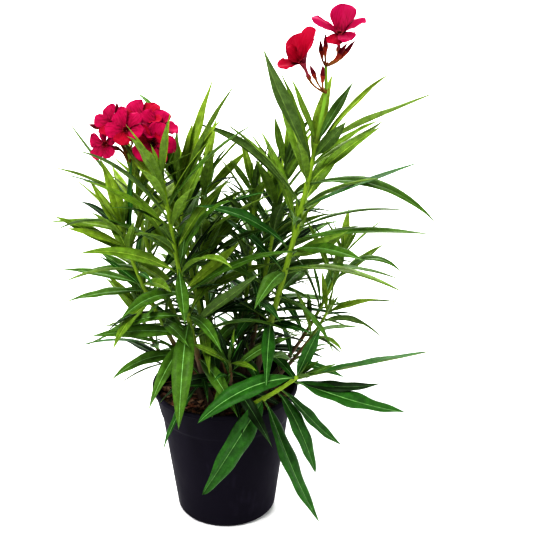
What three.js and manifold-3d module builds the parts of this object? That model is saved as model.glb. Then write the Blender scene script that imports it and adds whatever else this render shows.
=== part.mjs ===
// A flowering oleander in a round nursery pot, in millimetres, +Z up.
// The origin is the middle of the pot's flat underside, and the side with the low front shoot faces -Y.
import * as THREE from "three";
import { mergeVertices } from "three/addons/utils/BufferGeometryUtils.js";
import Module from "manifold-3d";

const wasm = await Module();
wasm.setup();

// The pot: a thin tapered shell with a flared collar, a rolled lip and a rounded foot.
const pot = {
  height: 165,
  rimRadius: 86,
  lipHeight: 6,
  collarTopRadius: 83.5,
  collarFootRadius: 77,
  collarFootHeight: 130,
  neckRadius: 75.2,
  neckHeight: 127,
  footRadius: 58.5,
  footRounding: 7,
  wall: 1.8,
  floor: 2.4,
  facets: 28,
  drainCount: 6,
  drainRadius: 4.5,
  drainRingRadius: 41,
};

const soilLevel = 148;
const soilEdgeDrop = 2.5;

// Pieces that meet keep this gap, and so do leaves of different shoots.
const clearance = 0.3;

// Limbs and the twigs inside the foliage.
const limb = { sides: 6, steps: 5, flareShare: 0.32, flareHeight: 9 };
const twig = { sides: 4, steps: 4, budLength: 9 };
const twigBelowLeaves = 0.025; // share of the curve by which a twig starts below its first leaves

// Leaves stand three at a node. Each whorl is turned against the one below it.
const leafRule = {
  perWhorl: 3,
  whorlTurn: 60,
  swing: 14, // how far a leaf strays round the stem, degrees
  waver: 9, // how far it strays up or down, degrees
  twist: 28, // how far its blade rolls, degrees
  lift: 0.25, // how much the leaf's foot follows the stem
  petiole: 0.05, // share of the length without a blade
  slimness: 0.16, // widest part of the blade over its length
  petioleHalfWidth: 0.9,
  keelShare: 0.022, // thickness at the midrib over the length
  keelLeast: 1.5,
  pathSteps: 20,
  aimRounds: 12, // how often a leaf's start is corrected until its bent midrib ends at its tip
  stations: [0, 5, 12], // steps of the path that carry a section of the blade
  bunching: 0.9,
  youngest: 0.62, // length of the top leaves against the longest
  oldest: 0.82, // length of the lowest leaves against the longest
  fullAt: 0.45, // share of the leafy stretch where leaves are longest
};

// Other places a leaf may take when its own is not free: turn and rise in degrees, share of its length.
const leafShifts = [
  [0, 0, 1],
  [9, 0, 1],
  [-9, 0, 1],
  [0, -8, 1],
  [0, 8, 0.97],
  [18, -4, 0.97],
  [-18, -4, 0.97],
  [14, 9, 0.9],
  [-14, 9, 0.9],
  [26, 0, 0.86],
  [-26, 0, 0.86],
  [0, 0, 0.7],
];

// The shoots, each one curve from the soil to its tip. foot is its place on the soil.
// leafFrom is the share of the curve where the leaves begin, spread runs from the lowest whorl to the top.
// Each row of leaves is one that stands out in the photo: its place on the curve, where its tip reaches,
// its droop and roll, and how broad it is against the rule where it isn't as broad.
const shoots = [
  {
    name: "right",
    foot: [28, -8], knee: [55, -18, 255], neck: [84, -28, 365], tip: [102, -32, 468],
    radius: [3.9, 2.5], leafFrom: 0.32, whorls: 9, leafLength: 140,
    spread: [86, 26], droop: [0.6, 0.1], turn: 12, seed: 9,
    leaves: [
      [0.92, [45, -70, 580], -0.5, -15],
      [0.99, [75, 10, 530], -0.1, -15],
      [0.99, [145, 15, 525], 0.3, 15],
      [0.95, [180, -15, 540], 0.3, 15],
      [0.99, [230, 0, 515], -0.1, 45],
      [0.92, [180, 20, 480], -0.5, 0],
      [0.94, [130, -95, 510], -0.1, 30],
      [0.76, [215, -25, 445], -0.1, 15],
      [0.85, [240, 0, 365], 1, 0],
      [0.64, [225, -60, 375], 0.1, 0],
      [0.57, [135, -90, 390], -0.5, 60],
      [0.77, [-30, 20, 475], 0.6, -45],
      [0.53, [195, -90, 320], 0.3, 0],
    ],
  },
  {
    name: "front",
    foot: [-15, -25], knee: [-36, -44, 235], neck: [-46, -62, 330], tip: [-60, -70, 438],
    radius: [3.6, 2.1], leafFrom: 0.13, whorls: 10, leafLength: 130,
    spread: [92, 28], droop: [1.1, 0.1], turn: 6, seed: 290,
    leaves: [
      [0.94, [-90, -115, 500], 0.6, 0],
      [0.91, [35, -90, 505], 0.3, 0],
      [0.66, [15, -95, 425], 0.8, -15],
      [0.86, [-150, -50, 465], 0.6, -45],
      [0.71, [-175, -20, 375], 1, -30],
      [0.67, [-35, -150, 310], -0.5, 15],
      [0.43, [-45, -150, 185], 2, 0, 1.1],
      [0.4, [45, -105, 350], -0.1, 45],
      [0.57, [20, -30, 355], -0.3, -45],
      [0.37, [-145, -75, 260], 0.1, 15],
    ],
  },
  {
    name: "low_front",
    foot: [22, -42], knee: [36, -62, 172], neck: [56, -86, 192], tip: [82, -105, 225],
    radius: [3.2, 2.1], leafFrom: 0.42, whorls: 0, seed: 33,
    leaves: [
      [0.47, [-20, -175, 120], -0.1, 15, 1.5],
      [0.48, [110, -100, 35], -0.5, 15, 1.15],
      [0.71, [105, -90, 95], 0.1, 0, 1.3],
      [0.77, [135, -70, 120], -0.5, 15, 1.1],
      [0.99, [-25, -145, 190], 1, -15, 1.25],
      [0.99, [105, -140, 300], 0.3, 60, 1.15],
      [0.99, [235, -50, 230], -0.1, 60],
      [0.93, [175, -100, 215], -0.5, 15],
      [0.94, [200, -120, 190], -0.3, 0, 1.25],
    ],
  },
  {
    name: "left",
    foot: [-28, -8], knee: [-62, -18, 240], neck: [-104, -38, 320], tip: [-107, -40, 374],
    radius: [3, 1.7], leafFrom: 0.4, whorls: 7, leafLength: 112,
    spread: [78, 34], droop: [0.4, 0.1], turn: 57, seed: 43,
    leaves: [
      [0.94, [-130, -40, 455], 0.6, 30],
      [0.83, [-95, -40, 455], 0.1, -15],
      [0.86, [-170, -45, 380], 0.1, 30],
      [0.59, [-175, -50, 290], 0.3, 15],
    ],
  },
  {
    name: "bloom_left",
    foot: [-20, 5], knee: [-62, -2, 270], neck: [-104, -6, 360], tip: [-92, -10, 425],
    radius: [3.2, 1.9], leafFrom: 0.36, whorls: 8, leafLength: 112,
    spread: [74, 40], droop: [0.4, 0.1], turn: 0, seed: 116,
    leaves: [
      [0.77, [-175, 50, 470], -0.3, -45],
    ],
  },
  {
    name: "centre",
    foot: [-5, 5], knee: [-26, 4, 235], neck: [-44, -4, 330], tip: [-48, -10, 412],
    radius: [3.2, 1.8], leafFrom: 0.34, whorls: 7, leafLength: 125,
    spread: [78, 18], droop: [0.5, 0.05], turn: 42, seed: 63,
    leaves: [
      [0.99, [0, 30, 520], -0.5, 0],
      [0.95, [15, -25, 530], 0.2, 15],
      [0.96, [0, 0, 485], 0.6, -30],
      [0.98, [-60, 60, 475], 1.5, 60],
      [0.95, [-95, 20, 510], 1, -45],
    ],
  },
  {
    name: "side_right",
    foot: [40, 12], knee: [78, 18, 185], neck: [118, 26, 245], tip: [137, 32, 312],
    radius: [2.8, 1.5], leafFrom: 0.48, whorls: 4, leafLength: 105,
    spread: [70, 36], droop: [0.3, 0.2], turn: 39, seed: 277,
    leaves: [
      [0.82, [205, 10, 300], 1.5, -30],
    ],
  },
  {
    name: "side_low",
    foot: [40, -10], knee: [62, -6, 175], neck: [98, -6, 215], tip: [118, -10, 258],
    radius: [2.6, 1.5], leafFrom: 0.48, whorls: 3, leafLength: 92,
    spread: [70, 45], droop: [0.3, 0.25], turn: 0, seed: 62,
    leaves: [
      [0.91, [180, -50, 245], 1, 45],
    ],
  },
  {
    name: "side_left",
    foot: [-36, 2], knee: [-60, 0, 180], neck: [-90, -4, 215], tip: [-96, -6, 262],
    radius: [2.6, 1.5], leafFrom: 0.42, whorls: 4, leafLength: 100,
    spread: [70, 45], droop: [0.3, 0.2], turn: 0, seed: 88,
  },
  {
    name: "sprig",
    foot: [6, -42], knee: [8, -48, 175], neck: [10, -56, 195], tip: [8, -66, 222],
    radius: [2.4, 1.5], leafFrom: 0.4, whorls: 4, leafLength: 100,
    spread: [95, 50], droop: [1.3, 0.4], turn: 6, seed: 387,
  },
  {
    name: "inner_left",
    foot: [0, 20], knee: [-23, 20, 240], neck: [-32, 22, 340], tip: [-20, 20, 410],
    radius: [3, 1.7], leafFrom: 0.2, whorls: 8, leafLength: 112,
    spread: [80, 32], droop: [0.5, 0.1], turn: 27, seed: 386,
  },
  {
    name: "inner_middle",
    foot: [12, 24], knee: [20, 24, 230], neck: [36, 25, 330], tip: [34, 25, 392],
    radius: [3, 1.7], leafFrom: 0.17, whorls: 8, leafLength: 110,
    spread: [82, 34], droop: [0.5, 0.1], turn: 42, seed: 295,
  },
  {
    name: "inner_right",
    foot: [24, 18], knee: [36, 24, 240], neck: [58, 30, 340], tip: [70, 34, 420],
    radius: [3, 1.7], leafFrom: 0.19, whorls: 8, leafLength: 115,
    spread: [78, 26], droop: [0.5, 0.1], turn: 48, seed: 184,
    leaves: [
      [0.93, [75, 10, 485], 1, -15],
    ],
  },
  {
    name: "rear_left",
    foot: [-14, 40], knee: [-30, 62, 220], neck: [-42, 84, 300], tip: [-48, 92, 360],
    radius: [3.2, 1.8], leafFrom: 0.14, whorls: 8, leafLength: 118,
    spread: [82, 32], droop: [0.6, 0.1], turn: 33, seed: 262,
  },
  {
    name: "rear_right",
    foot: [18, 42], knee: [34, 66, 220], neck: [52, 90, 290], tip: [58, 100, 345],
    radius: [3.2, 1.8], leafFrom: 0.14, whorls: 8, leafLength: 118,
    spread: [82, 34], droop: [0.6, 0.1], turn: 21, seed: 262,
  },
];

// The flower heads, each on the tip of a shoot. forks are the places on the peduncle where flower
// stalks leave it, low to high. Each flower has the middle of its throat, the way it faces, its spin,
// the size of its petals against a full one, how steeply they rise and the fork it grows from.
// Where its petals stand out one by one, each has a row instead: its tip, its roll and its breadth.
// Each bud has its tip, its base and its fork.
const flowerHeads = [
  {
    name: "right",
    shoot: "right",
    forks: [[112, -32, 523], [111, -32, 552]],
    flowers: [
      {
        throat: [124, -40, 588], facing: [0.02, -0.34, 0.94], fork: 1,
        petals: [
          [[127, -24, 615], 0, 1.08],
          [[95, -46, 603], 3, 0.8],
          [[150, -38, 603], 7, 0.7],
          [[136, -60, 585], -5, 0.85],
          [[118, -58, 580], 5, 0.7],
        ],
      },
      {
        throat: [86, -40, 558], facing: [-0.35, -0.3, 0.88], fork: 0,
        petals: [
          [[93, -30, 593], 0, 1],
          [[77, -26, 583], 8, 1.15],
          [[97, -54, 584], 5, 0.95],
          [[61, -48, 554], 10, 0.72],
          [[69, -40, 570], 0, 1],
        ],
      },
    ],
    buds: [
      { tip: [110, -34, 586], base: [110, -33, 563], fork: 1 },
      { tip: [105, -25, 577], base: [107, -25, 559], fork: 1 },
      { tip: [141, -30, 578], base: [126, -30, 559], fork: 1 },
      { tip: [132, -42, 578], base: [120, -40, 559], fork: 1 },
      { tip: [94, -48, 556], base: [100, -45, 541], fork: 0 },
      { tip: [107, -50, 557], base: [107, -47, 538], fork: 0 },
    ],
  },
  {
    name: "left",
    shoot: "bloom_left",
    forks: [[-102, -13, 440], [-104, -14, 452]],
    flowers: [
      { throat: [-115, -24, 489], facing: [-0.3, -0.6, 0.74], spin: 38, size: 0.7, rise: 18, fork: 1 },
      { throat: [-123, -36, 468], facing: [-0.5, -0.75, 0.45], spin: 20, size: 0.65, rise: 12, fork: 0 },
      { throat: [-99, -46, 487], facing: [-0.15, -0.7, 0.7], spin: 50, size: 0.75, rise: 16, fork: 1 },
      { throat: [-85, -20, 491], facing: [0.05, -0.45, 0.88], spin: 55, size: 0.85, rise: 20, fork: 1 },
      { throat: [-68, -32, 484], facing: [0.35, -0.55, 0.75], spin: 10, size: 0.8, rise: 18, fork: 1 },
      { throat: [-71, -46, 471], facing: [0.25, -0.9, 0.35], spin: 5, size: 0.85, rise: 10, fork: 0 },
    ],
    buds: [
      { tip: [-141, -26, 487], base: [-128, -24, 482], fork: 0 },
      { tip: [-112, -6, 506], base: [-113, -8, 490], fork: 1 },
      { tip: [-102, -30, 502], base: [-100, -28, 485], fork: 1 },
    ],
  },
];

// One flower: a tube that opens into a throat, with five broad petals, on a small calyx.
const flower = {
  petals: 5,
  petalLength: 25,
  petalHalfWidth: 12,
  petalBow: 0.07, // how far the petal's middle stands up from the straight, over its length
  petalTilt: 10, // degrees by which one edge lies over the next petal
  petalThickness: 1.1,
  throatRadius: 4.2,
  petalInset: 0.75, // where a petal starts, over the throat's radius
  tubeRadius: 1.7,
  tubeLength: 19,
  tubeSides: 5,
  calyxRadius: 2.2,
  calyxLength: 5,
  stalkRadius: 1,
  // Sections of a petal from the throat out: share of its length, share of its greatest width.
  petalSections: [[0, 0.2], [0.5, 0.85], [0.85, 0.9]],
};
const bud = { radius: 2.4, sides: 4, stalkRadius: 1.1 };
const stalkRule = {
  sides: 4,
  steps: 2,
  footRadius: 0.9, // where it leaves its fork
  bend: 0.45, // how far back along the flower's axis its curve is drawn, over its length
  sink: 0.6, // how far its end runs into the flower or bud
  slimming: 0.95, // its end against the ring that it runs into
};
const peduncleTopRadius = 1.6;

const radians = THREE.MathUtils.degToRad;
const degrees = THREE.MathUtils.radToDeg;
const mix = THREE.MathUtils.lerp;
const vec = (x, y, z) => new THREE.Vector3(x, y, z);
const down = vec(0, 0, -1);

// Seeded chance between 0 and 1, the same on every run.
function chance(seed) {
  let state = seed * 7919 + 17;
  const draw = () => {
    state = (state * 1664525 + 1013904223) % 4294967296;
    return state / 4294967296;
  };
  for (let i = 0; i < 4; i++) draw();
  return draw;
}

// Two directions across a way, the first as near to +X as it can be.
function crossAxes(way) {
  const east = vec(1, 0, 0).addScaledVector(way, -way.x).normalize();
  return [east, new THREE.Vector3().crossVectors(way, east)];
}

function solidFrom(positions, triangles) {
  const shape = new wasm.Mesh({
    numProp: 3,
    vertProperties: new Float32Array(positions),
    triVerts: new Uint32Array(triangles),
  });
  return new wasm.Manifold(shape);
}

// A closed geometry of three.js as a solid: its corners are merged and its collapsed faces dropped.
function solidOf(geometry) {
  const bare = new THREE.BufferGeometry();
  bare.setAttribute("position", geometry.getAttribute("position"));
  bare.setIndex(geometry.getIndex());
  const merged = mergeVertices(bare, 1e-4);
  const corners = merged.getIndex().array;
  const kept = [];
  for (let i = 0; i < corners.length; i += 3) {
    const [a, b, c] = [corners[i], corners[i + 1], corners[i + 2]];
    if (a !== b && b !== c && a !== c) kept.push(a, b, c);
  }
  return solidFrom(merged.getAttribute("position").array, kept);
}

// A closed skin over rings of points that turn counter-clockwise about the way they run.
// It ends in a flat cap, or in a point when one is given.
function skin(rings, point = null) {
  const count = rings[0].length;
  const points = rings.flat();
  const faces = [];
  for (let r = 0; r + 1 < rings.length; r++) {
    for (let i = 0; i < count; i++) {
      const a = r * count + i;
      const b = r * count + ((i + 1) % count);
      faces.push(a, b, b + count, a, b + count, a + count);
    }
  }
  for (let i = 1; i + 1 < count; i++) faces.push(0, i + 1, i);
  const end = (rings.length - 1) * count;
  if (point) {
    points.push(point);
    const apex = points.length - 1;
    for (let i = 0; i < count; i++) faces.push(end + i, end + ((i + 1) % count), apex);
  } else {
    for (let i = 1; i + 1 < count; i++) faces.push(end, end + i, end + i + 1);
  }
  return solidFrom(points.flatMap((p) => p.toArray()), faces);
}

// A regular ring of points round a centre, square to a way.
function ring(centre, way, radius, sides) {
  const [east, north] = crossAxes(way);
  return Array.from({ length: sides }, (_, i) => {
    const angle = (2 * Math.PI * i) / sides;
    return centre
      .clone()
      .addScaledVector(east, radius * Math.cos(angle))
      .addScaledVector(north, radius * Math.sin(angle));
  });
}

// The pot's outline, from the middle of its underside up the outside and down the inside.
function potProfile() {
  const p = pot;
  const outline = [[0, 0]];
  for (let i = 0; i <= 3; i++) {
    const angle = radians(-90 + 30 * i);
    outline.push([
      p.footRadius - p.footRounding + p.footRounding * Math.cos(angle),
      p.footRounding + p.footRounding * Math.sin(angle),
    ]);
  }
  outline.push(
    [p.neckRadius, p.neckHeight],
    [p.collarFootRadius, p.collarFootHeight],
    [p.collarTopRadius, p.height - p.lipHeight],
    [p.rimRadius - 0.5, p.height - p.lipHeight],
    [p.rimRadius, p.height - p.lipHeight + 1],
    [p.rimRadius, p.height - 1],
    [p.rimRadius - 1, p.height],
    [p.collarTopRadius + 1, p.height],
    [p.collarTopRadius + 1 - p.wall, p.height - 1.5],
    [p.collarFootRadius - p.wall, p.collarFootHeight + 0.5],
    [p.neckRadius - p.wall, p.neckHeight],
    [p.footRadius - p.wall, p.footRounding],
    [p.footRadius - p.footRounding, p.floor],
    [0, p.floor],
  );
  return outline;
}

// The inside of the pot's outline, brought in by the clearance and cut at the soil's level.
function soilProfile() {
  const p = pot;
  const inside = (r, z) => [r - p.wall - clearance, z];
  const rise = (soilLevel - p.collarFootHeight) / (p.height - 1.5 - p.collarFootHeight);
  const levelRadius = mix(p.collarFootRadius, p.collarTopRadius + 1, rise);
  return [
    [0, p.floor + clearance],
    [p.footRadius - p.footRounding - clearance, p.floor + clearance],
    inside(p.footRadius, p.footRounding + clearance),
    inside(p.neckRadius, p.neckHeight + clearance),
    inside(p.collarFootRadius, p.collarFootHeight + 2 * clearance),
    inside(levelRadius - soilEdgeDrop / 4, soilLevel - soilEdgeDrop),
    [levelRadius - p.wall - 7, soilLevel],
    [0, soilLevel],
  ];
}

function turned(profile) {
  const points = profile.map(([r, z]) => new THREE.Vector2(r, z));
  return new THREE.LatheGeometry(points, pot.facets).rotateX(Math.PI / 2);
}

function makePot() {
  let body = solidOf(turned(potProfile()));
  for (let i = 0; i < pot.drainCount; i++) {
    const angle = (2 * Math.PI * (i + 0.5)) / pot.drainCount;
    const drain = new THREE.CylinderGeometry(pot.drainRadius, pot.drainRadius, 4 * pot.floor, 10);
    drain.rotateX(Math.PI / 2);
    drain.translate(pot.drainRingRadius * Math.cos(angle), pot.drainRingRadius * Math.sin(angle), 0);
    body = body.subtract(solidOf(drain));
  }
  return body;
}

function makeSoil() {
  return solidOf(turned(soilProfile()));
}

function stemCurve(shoot) {
  const foot = vec(shoot.foot[0], shoot.foot[1], soilLevel + clearance);
  return new THREE.CubicBezierCurve3(foot, vec(...shoot.knee), vec(...shoot.neck), vec(...shoot.tip));
}

function stemRadius(shoot, share) {
  return mix(shoot.radius[0], shoot.radius[1], share);
}

// The bare stem: flat on the soil, flared at its foot, cut square where the foliage takes over.
function makeLimb(shoot, curve) {
  const end = shoot.leafFrom - twigBelowLeaves;
  const rings = [];
  for (let i = 0; i <= limb.steps; i++) {
    const share = (end * i) / limb.steps;
    const centre = curve.getPoint(share);
    const flare = limb.flareShare * Math.exp(-(centre.z - soilLevel) / limb.flareHeight);
    const way = i === 0 ? vec(0, 0, 1) : curve.getTangent(share);
    rings.push(ring(centre, way, stemRadius(shoot, share) * (1 + flare), limb.sides));
  }
  return skin(rings);
}

// The leafy stretch of the stem, from just clear of the limb to the tip.
function makeTwig(shoot, curve) {
  const start = shoot.leafFrom - twigBelowLeaves;
  const rings = [];
  for (let i = 0; i <= twig.steps; i++) {
    const share = mix(start, 1, i / twig.steps);
    const way = curve.getTangent(share);
    const centre = curve.getPoint(share);
    if (i === 0) centre.addScaledVector(way, clearance);
    rings.push(ring(centre, way, stemRadius(shoot, share), twig.sides));
  }
  if (flowerHeads.some((head) => head.shoot === shoot.name)) return skin(rings);
  const point = curve.getPoint(1).addScaledVector(curve.getTangent(1), twig.budLength);
  return skin(rings, point);
}

// A leaf as numbers: where it leaves the stem, which way, how long, how it bends.
function leafAt(curve, share, heading, spread, length, droop, roll) {
  const [at, way] = [curve.getPoint(share), curve.getTangent(share)];
  return { at, way, heading, spread, length, droop, roll, breadth: 1 };
}

// Which way a leaf's midrib runs at a share s of its length, when it leaves the stem along first.
function midribWay(way, first, droop, s) {
  const lifted = first.clone().addScaledVector(way, leafRule.lift * (1 - s) ** 2);
  return lifted.addScaledVector(down, droop * s ** 1.4).normalize();
}

// A leaf that ends at a tip: it is aimed so that its bent midrib comes out there.
function leafTo(curve, share, tip, droop, roll, breadth = 1) {
  const [at, way] = [curve.getPoint(share), curve.getTangent(share)];
  const goal = vec(...tip).sub(at);
  const straight = goal.clone().normalize();
  const first = straight.clone();
  const reach = vec(0, 0, 0); // what a midrib of length 1 comes to
  for (let round = 0; round < leafRule.aimRounds; round++) {
    reach.set(0, 0, 0);
    for (let i = 0; i < leafRule.pathSteps; i++) {
      const s = (i + 0.5) / leafRule.pathSteps;
      reach.addScaledVector(midribWay(way, first, droop, s), 1 / leafRule.pathSteps);
    }
    first.add(straight).sub(reach.clone().normalize()).normalize();
  }
  const [east, north] = crossAxes(way);
  const heading = degrees(Math.atan2(first.dot(north), first.dot(east)));
  const spread = degrees(first.angleTo(way));
  return { at, way, heading, spread, length: goal.length() / reach.length(), droop, roll, breadth };
}

// The leaves of a shoot that stand out and have a place of their own.
function standingLeaves(shoot, curve) {
  return (shoot.leaves ?? []).map((row) => leafTo(curve, ...row));
}

// The whorls of a shoot by the seeded rule, lowest first.
function whorledLeaves(shoot, curve) {
  const rule = leafRule;
  const draw = chance(shoot.seed);
  const leaves = [];
  for (let whorl = 0; whorl < shoot.whorls; whorl++) {
    const level = whorl / (shoot.whorls - 1);
    const share = mix(shoot.leafFrom, 1, level ** rule.bunching);
    for (let k = 0; k < rule.perWhorl; k++) {
      const around = (360 / rule.perWhorl) * k;
      const heading = shoot.turn + rule.whorlTurn * whorl + around + (draw() - 0.5) * 2 * rule.swing;
      const spread = mix(...shoot.spread, level ** 1.2) + (draw() - 0.5) * 2 * rule.waver;
      const growth =
        level < rule.fullAt
          ? mix(rule.oldest, 1, Math.min(1, level / rule.fullAt))
          : mix(1, rule.youngest, (level - rule.fullAt) / (1 - rule.fullAt));
      const length = shoot.leafLength * growth * (0.88 + 0.24 * draw());
      const droop = mix(...shoot.droop, level) * (0.5 + draw());
      const roll = (draw() - 0.5) * 2 * rule.twist;
      leaves.push(leafAt(curve, share, heading, spread, length, droop, roll));
    }
  }
  return leaves;
}

// The leaf's midrib as points, with the blade's sideways direction and its upper face at each.
function leafPath(leaf) {
  const rule = leafRule;
  const { way } = leaf;
  const [east, north] = crossAxes(way);
  const heading = radians(leaf.heading);
  const spread = radians(leaf.spread);
  const roll = radians(leaf.roll);
  const outward = east.multiplyScalar(Math.cos(heading)).addScaledVector(north, Math.sin(heading));
  const first = way.clone().multiplyScalar(Math.cos(spread)).addScaledVector(outward, Math.sin(spread));
  const flat = new THREE.Vector3().crossVectors(first, way).normalize();
  const upper = new THREE.Vector3().crossVectors(flat, first);
  flat.multiplyScalar(Math.cos(roll)).addScaledVector(upper, Math.sin(roll));
  const aim = (s) => midribWay(way, first, leaf.droop, s);
  const path = [];
  const point = leaf.at.clone();
  for (let i = 0; i <= rule.pathSteps; i++) {
    const s = i / rule.pathSteps;
    const ahead = aim(s);
    const side = flat.clone().addScaledVector(ahead, -flat.dot(ahead)).normalize();
    path.push({ s, point: point.clone(), side, face: new THREE.Vector3().crossVectors(side, ahead) });
    point.addScaledVector(aim(s + 0.5 / rule.pathSteps), leaf.length / rule.pathSteps);
  }
  return path;
}

// Half the blade's width at a share of its length: lance-shaped, widest just below the middle.
function leafHalfWidth(leaf, s) {
  const along = Math.max(0, (s - leafRule.petiole) / (1 - leafRule.petiole));
  const shape = Math.max(0, Math.sin(Math.PI * along ** 0.86)) ** 1.15;
  const fullWidth = leafRule.slimness * leaf.length * leaf.breadth;
  return Math.max(leafRule.petioleHalfWidth, 0.5 * fullWidth * shape);
}

// A blade with a flat upper face and a keel along its midrib.
function blade(stations, halfWidths, keel, tip) {
  const rings = stations.map(({ point, side, face }, i) => [
    point.clone().addScaledVector(side, -halfWidths[i]),
    point.clone().addScaledVector(side, halfWidths[i]),
    point.clone().addScaledVector(face, -keel),
  ]);
  return skin(rings, tip);
}

function makeLeaf(leaf) {
  const path = leafPath(leaf);
  const stations = leafRule.stations.map((i) => path[i]);
  const widths = stations.map(({ s }) => leafHalfWidth(leaf, s));
  const keel = Math.max(leafRule.keelLeast, leafRule.keelShare * leaf.length);
  return blade(stations, widths, keel, path[leafRule.pathSteps].point);
}

// A stalk from a fork to the foot of a flower or bud that points along way.
function makeStalk(fork, foot, way, radius) {
  const rule = stalkRule;
  const bend = foot.clone().addScaledVector(way, -rule.bend * foot.distanceTo(fork));
  const end = foot.clone().addScaledVector(way, rule.sink);
  const curve = new THREE.QuadraticBezierCurve3(fork, bend, end);
  const rings = [];
  for (let i = 0; i <= rule.steps; i++) {
    const share = i / rule.steps;
    const girth = mix(rule.footRadius, radius * rule.slimming, share);
    rings.push(ring(curve.getPoint(share), curve.getTangent(share), girth, rule.sides));
  }
  return skin(rings);
}

// The petals of a flower by the rule: spread evenly round the throat, all alike.
function evenPetals({ throat, spin, size, rise }, front) {
  const f = flower;
  const [east, north] = crossAxes(front);
  return Array.from({ length: f.petals }, (_, i) => {
    const angle = radians(spin + (360 / f.petals) * i);
    const outward = east.clone().multiplyScalar(Math.cos(angle)).addScaledVector(north, Math.sin(angle));
    const reach = f.throatRadius * f.petalInset + f.petalLength * size * Math.cos(radians(rise));
    const tip = vec(...throat).addScaledVector(outward, reach);
    tip.addScaledVector(front, f.petalLength * size * Math.sin(radians(rise)));
    return [tip.toArray(), f.petalTilt, size];
  });
}

// One petal, from inside the throat to its tip, its middle bowed up a little.
function makePetal(throat, front, place, roll, breadth) {
  const f = flower;
  const tip = vec(...place);
  const lean = tip.clone().sub(throat);
  const outward = lean.clone().addScaledVector(front, -lean.dot(front)).normalize();
  const start = throat.clone().addScaledVector(outward, f.throatRadius * f.petalInset);
  const way = tip.clone().sub(start);
  const length = way.length();
  way.normalize();
  const level = new THREE.Vector3().crossVectors(way, front).normalize();
  const upper = new THREE.Vector3().crossVectors(level, way);
  const turn = radians(roll);
  const side = level.clone().multiplyScalar(Math.cos(turn)).addScaledVector(upper, Math.sin(turn));
  const face = upper.clone().multiplyScalar(Math.cos(turn)).addScaledVector(level, -Math.sin(turn));
  const stations = f.petalSections.map(([s]) => {
    const point = start.clone().addScaledVector(way, s * length);
    return { point: point.addScaledVector(upper, 4 * f.petalBow * length * s * (1 - s)), side, face };
  });
  const widths = f.petalSections.map(([, width]) => width * f.petalHalfWidth * breadth);
  return blade(stations, widths, f.petalThickness, tip);
}

// A whole flower: stalk, calyx, tube and petals, fused.
function makeFlower(bloom, fork) {
  const f = flower;
  const centre = vec(...bloom.throat);
  const front = vec(...bloom.facing).normalize();
  const back = (length) => centre.clone().addScaledVector(front, -length);
  const foot = back(f.tubeLength + f.calyxLength);
  const tube = skin([
    ring(foot, front, f.stalkRadius, f.tubeSides),
    ring(back(f.tubeLength + 1), front, f.calyxRadius, f.tubeSides),
    ring(back(f.tubeLength * 0.6), front, f.tubeRadius, f.tubeSides),
    ring(back(-0.8), front, f.throatRadius, f.tubeSides),
  ]);
  const pieces = [tube, makeStalk(fork, foot, front, f.stalkRadius)];
  for (const row of bloom.petals ?? evenPetals(bloom, front)) {
    pieces.push(makePetal(centre, front, ...row));
  }
  return wasm.Manifold.union(pieces);
}

// A closed bud: a slim spindle on its stalk.
function makeBud({ tip, base }, fork) {
  const end = vec(...tip);
  const foot = vec(...base);
  const way = end.clone().sub(foot).normalize();
  const along = (share) => foot.clone().lerp(end, share);
  const spindle = skin(
    [
      ring(along(0), way, bud.stalkRadius, bud.sides),
      ring(along(0.3), way, bud.radius, bud.sides),
      ring(along(0.7), way, bud.radius * 0.85, bud.sides),
    ],
    end,
  );
  return spindle.add(makeStalk(fork, foot, way, bud.stalkRadius));
}

// The peduncle that carries a flower head, from just clear of the shoot's tip to its highest fork.
function makePeduncle(head, shoot, curve) {
  const start = curve.getPoint(1).addScaledVector(curve.getTangent(1), clearance);
  const forks = head.forks.map((fork) => vec(...fork));
  const places = [start, ...forks];
  const rings = places.map((place, i) => {
    const way = i === 0 ? curve.getTangent(1) : place.clone().sub(places[i - 1]).normalize();
    return ring(place, way, mix(shoot.radius[1], peduncleTopRadius, i / forks.length), twig.sides);
  });
  return skin(rings);
}

// Solids that are already placed, with the node each belongs to.
const placed = [];

function place(owner, solid) {
  placed.push({ owner, solid, box: solid.boundingBox() });
  return solid;
}

function isFree(owner, solid) {
  const box = solid.boundingBox();
  return placed.every((other) => {
    if (other.owner === owner) return true;
    for (let axis = 0; axis < 3; axis++) {
      if (box.min[axis] - clearance > other.box.max[axis]) return true;
      if (box.max[axis] + clearance < other.box.min[axis]) return true;
    }
    return solid.minGap(other.solid, 2 * clearance) >= clearance;
  });
}

// Puts a leaf in the first of its possible places that is free, or leaves it out.
function growLeaf(owner, leaf) {
  for (const [turn, rise, share] of leafShifts) {
    const tried = makeLeaf({
      ...leaf,
      heading: leaf.heading + turn,
      spread: leaf.spread + rise,
      length: leaf.length * share,
    });
    if (isFree(owner, tried)) {
      place(owner, tried);
      return;
    }
  }
}

// One closed body from fused pieces: hollows that the fusing sealed are filled, loose scraps dropped.
function fuse(pieces) {
  const bodies = wasm.Manifold.union(pieces).simplify(0.06).decompose();
  return bodies.reduce((best, body) => (body.volume() > best.volume() ? body : best));
}

function meshOf(name, solid, color, roughness) {
  const { vertProperties, triVerts } = solid.getMesh();
  const geometry = new THREE.BufferGeometry();
  geometry.setAttribute("position", new THREE.BufferAttribute(new Float32Array(vertProperties), 3));
  geometry.setIndex(new THREE.BufferAttribute(new Uint32Array(triVerts), 1));
  geometry.computeVertexNormals();
  const material = new THREE.MeshStandardMaterial({ color, roughness, metalness: 0, flatShading: true });
  const mesh = new THREE.Mesh(geometry, material);
  mesh.name = name;
  return mesh;
}

const plant = new THREE.Group();
plant.add(meshOf("pot", place("pot", makePot()), 0x15161a, 0.5));
plant.add(meshOf("soil", place("soil", makeSoil()), 0x3a2a1e, 0.95));

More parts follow.
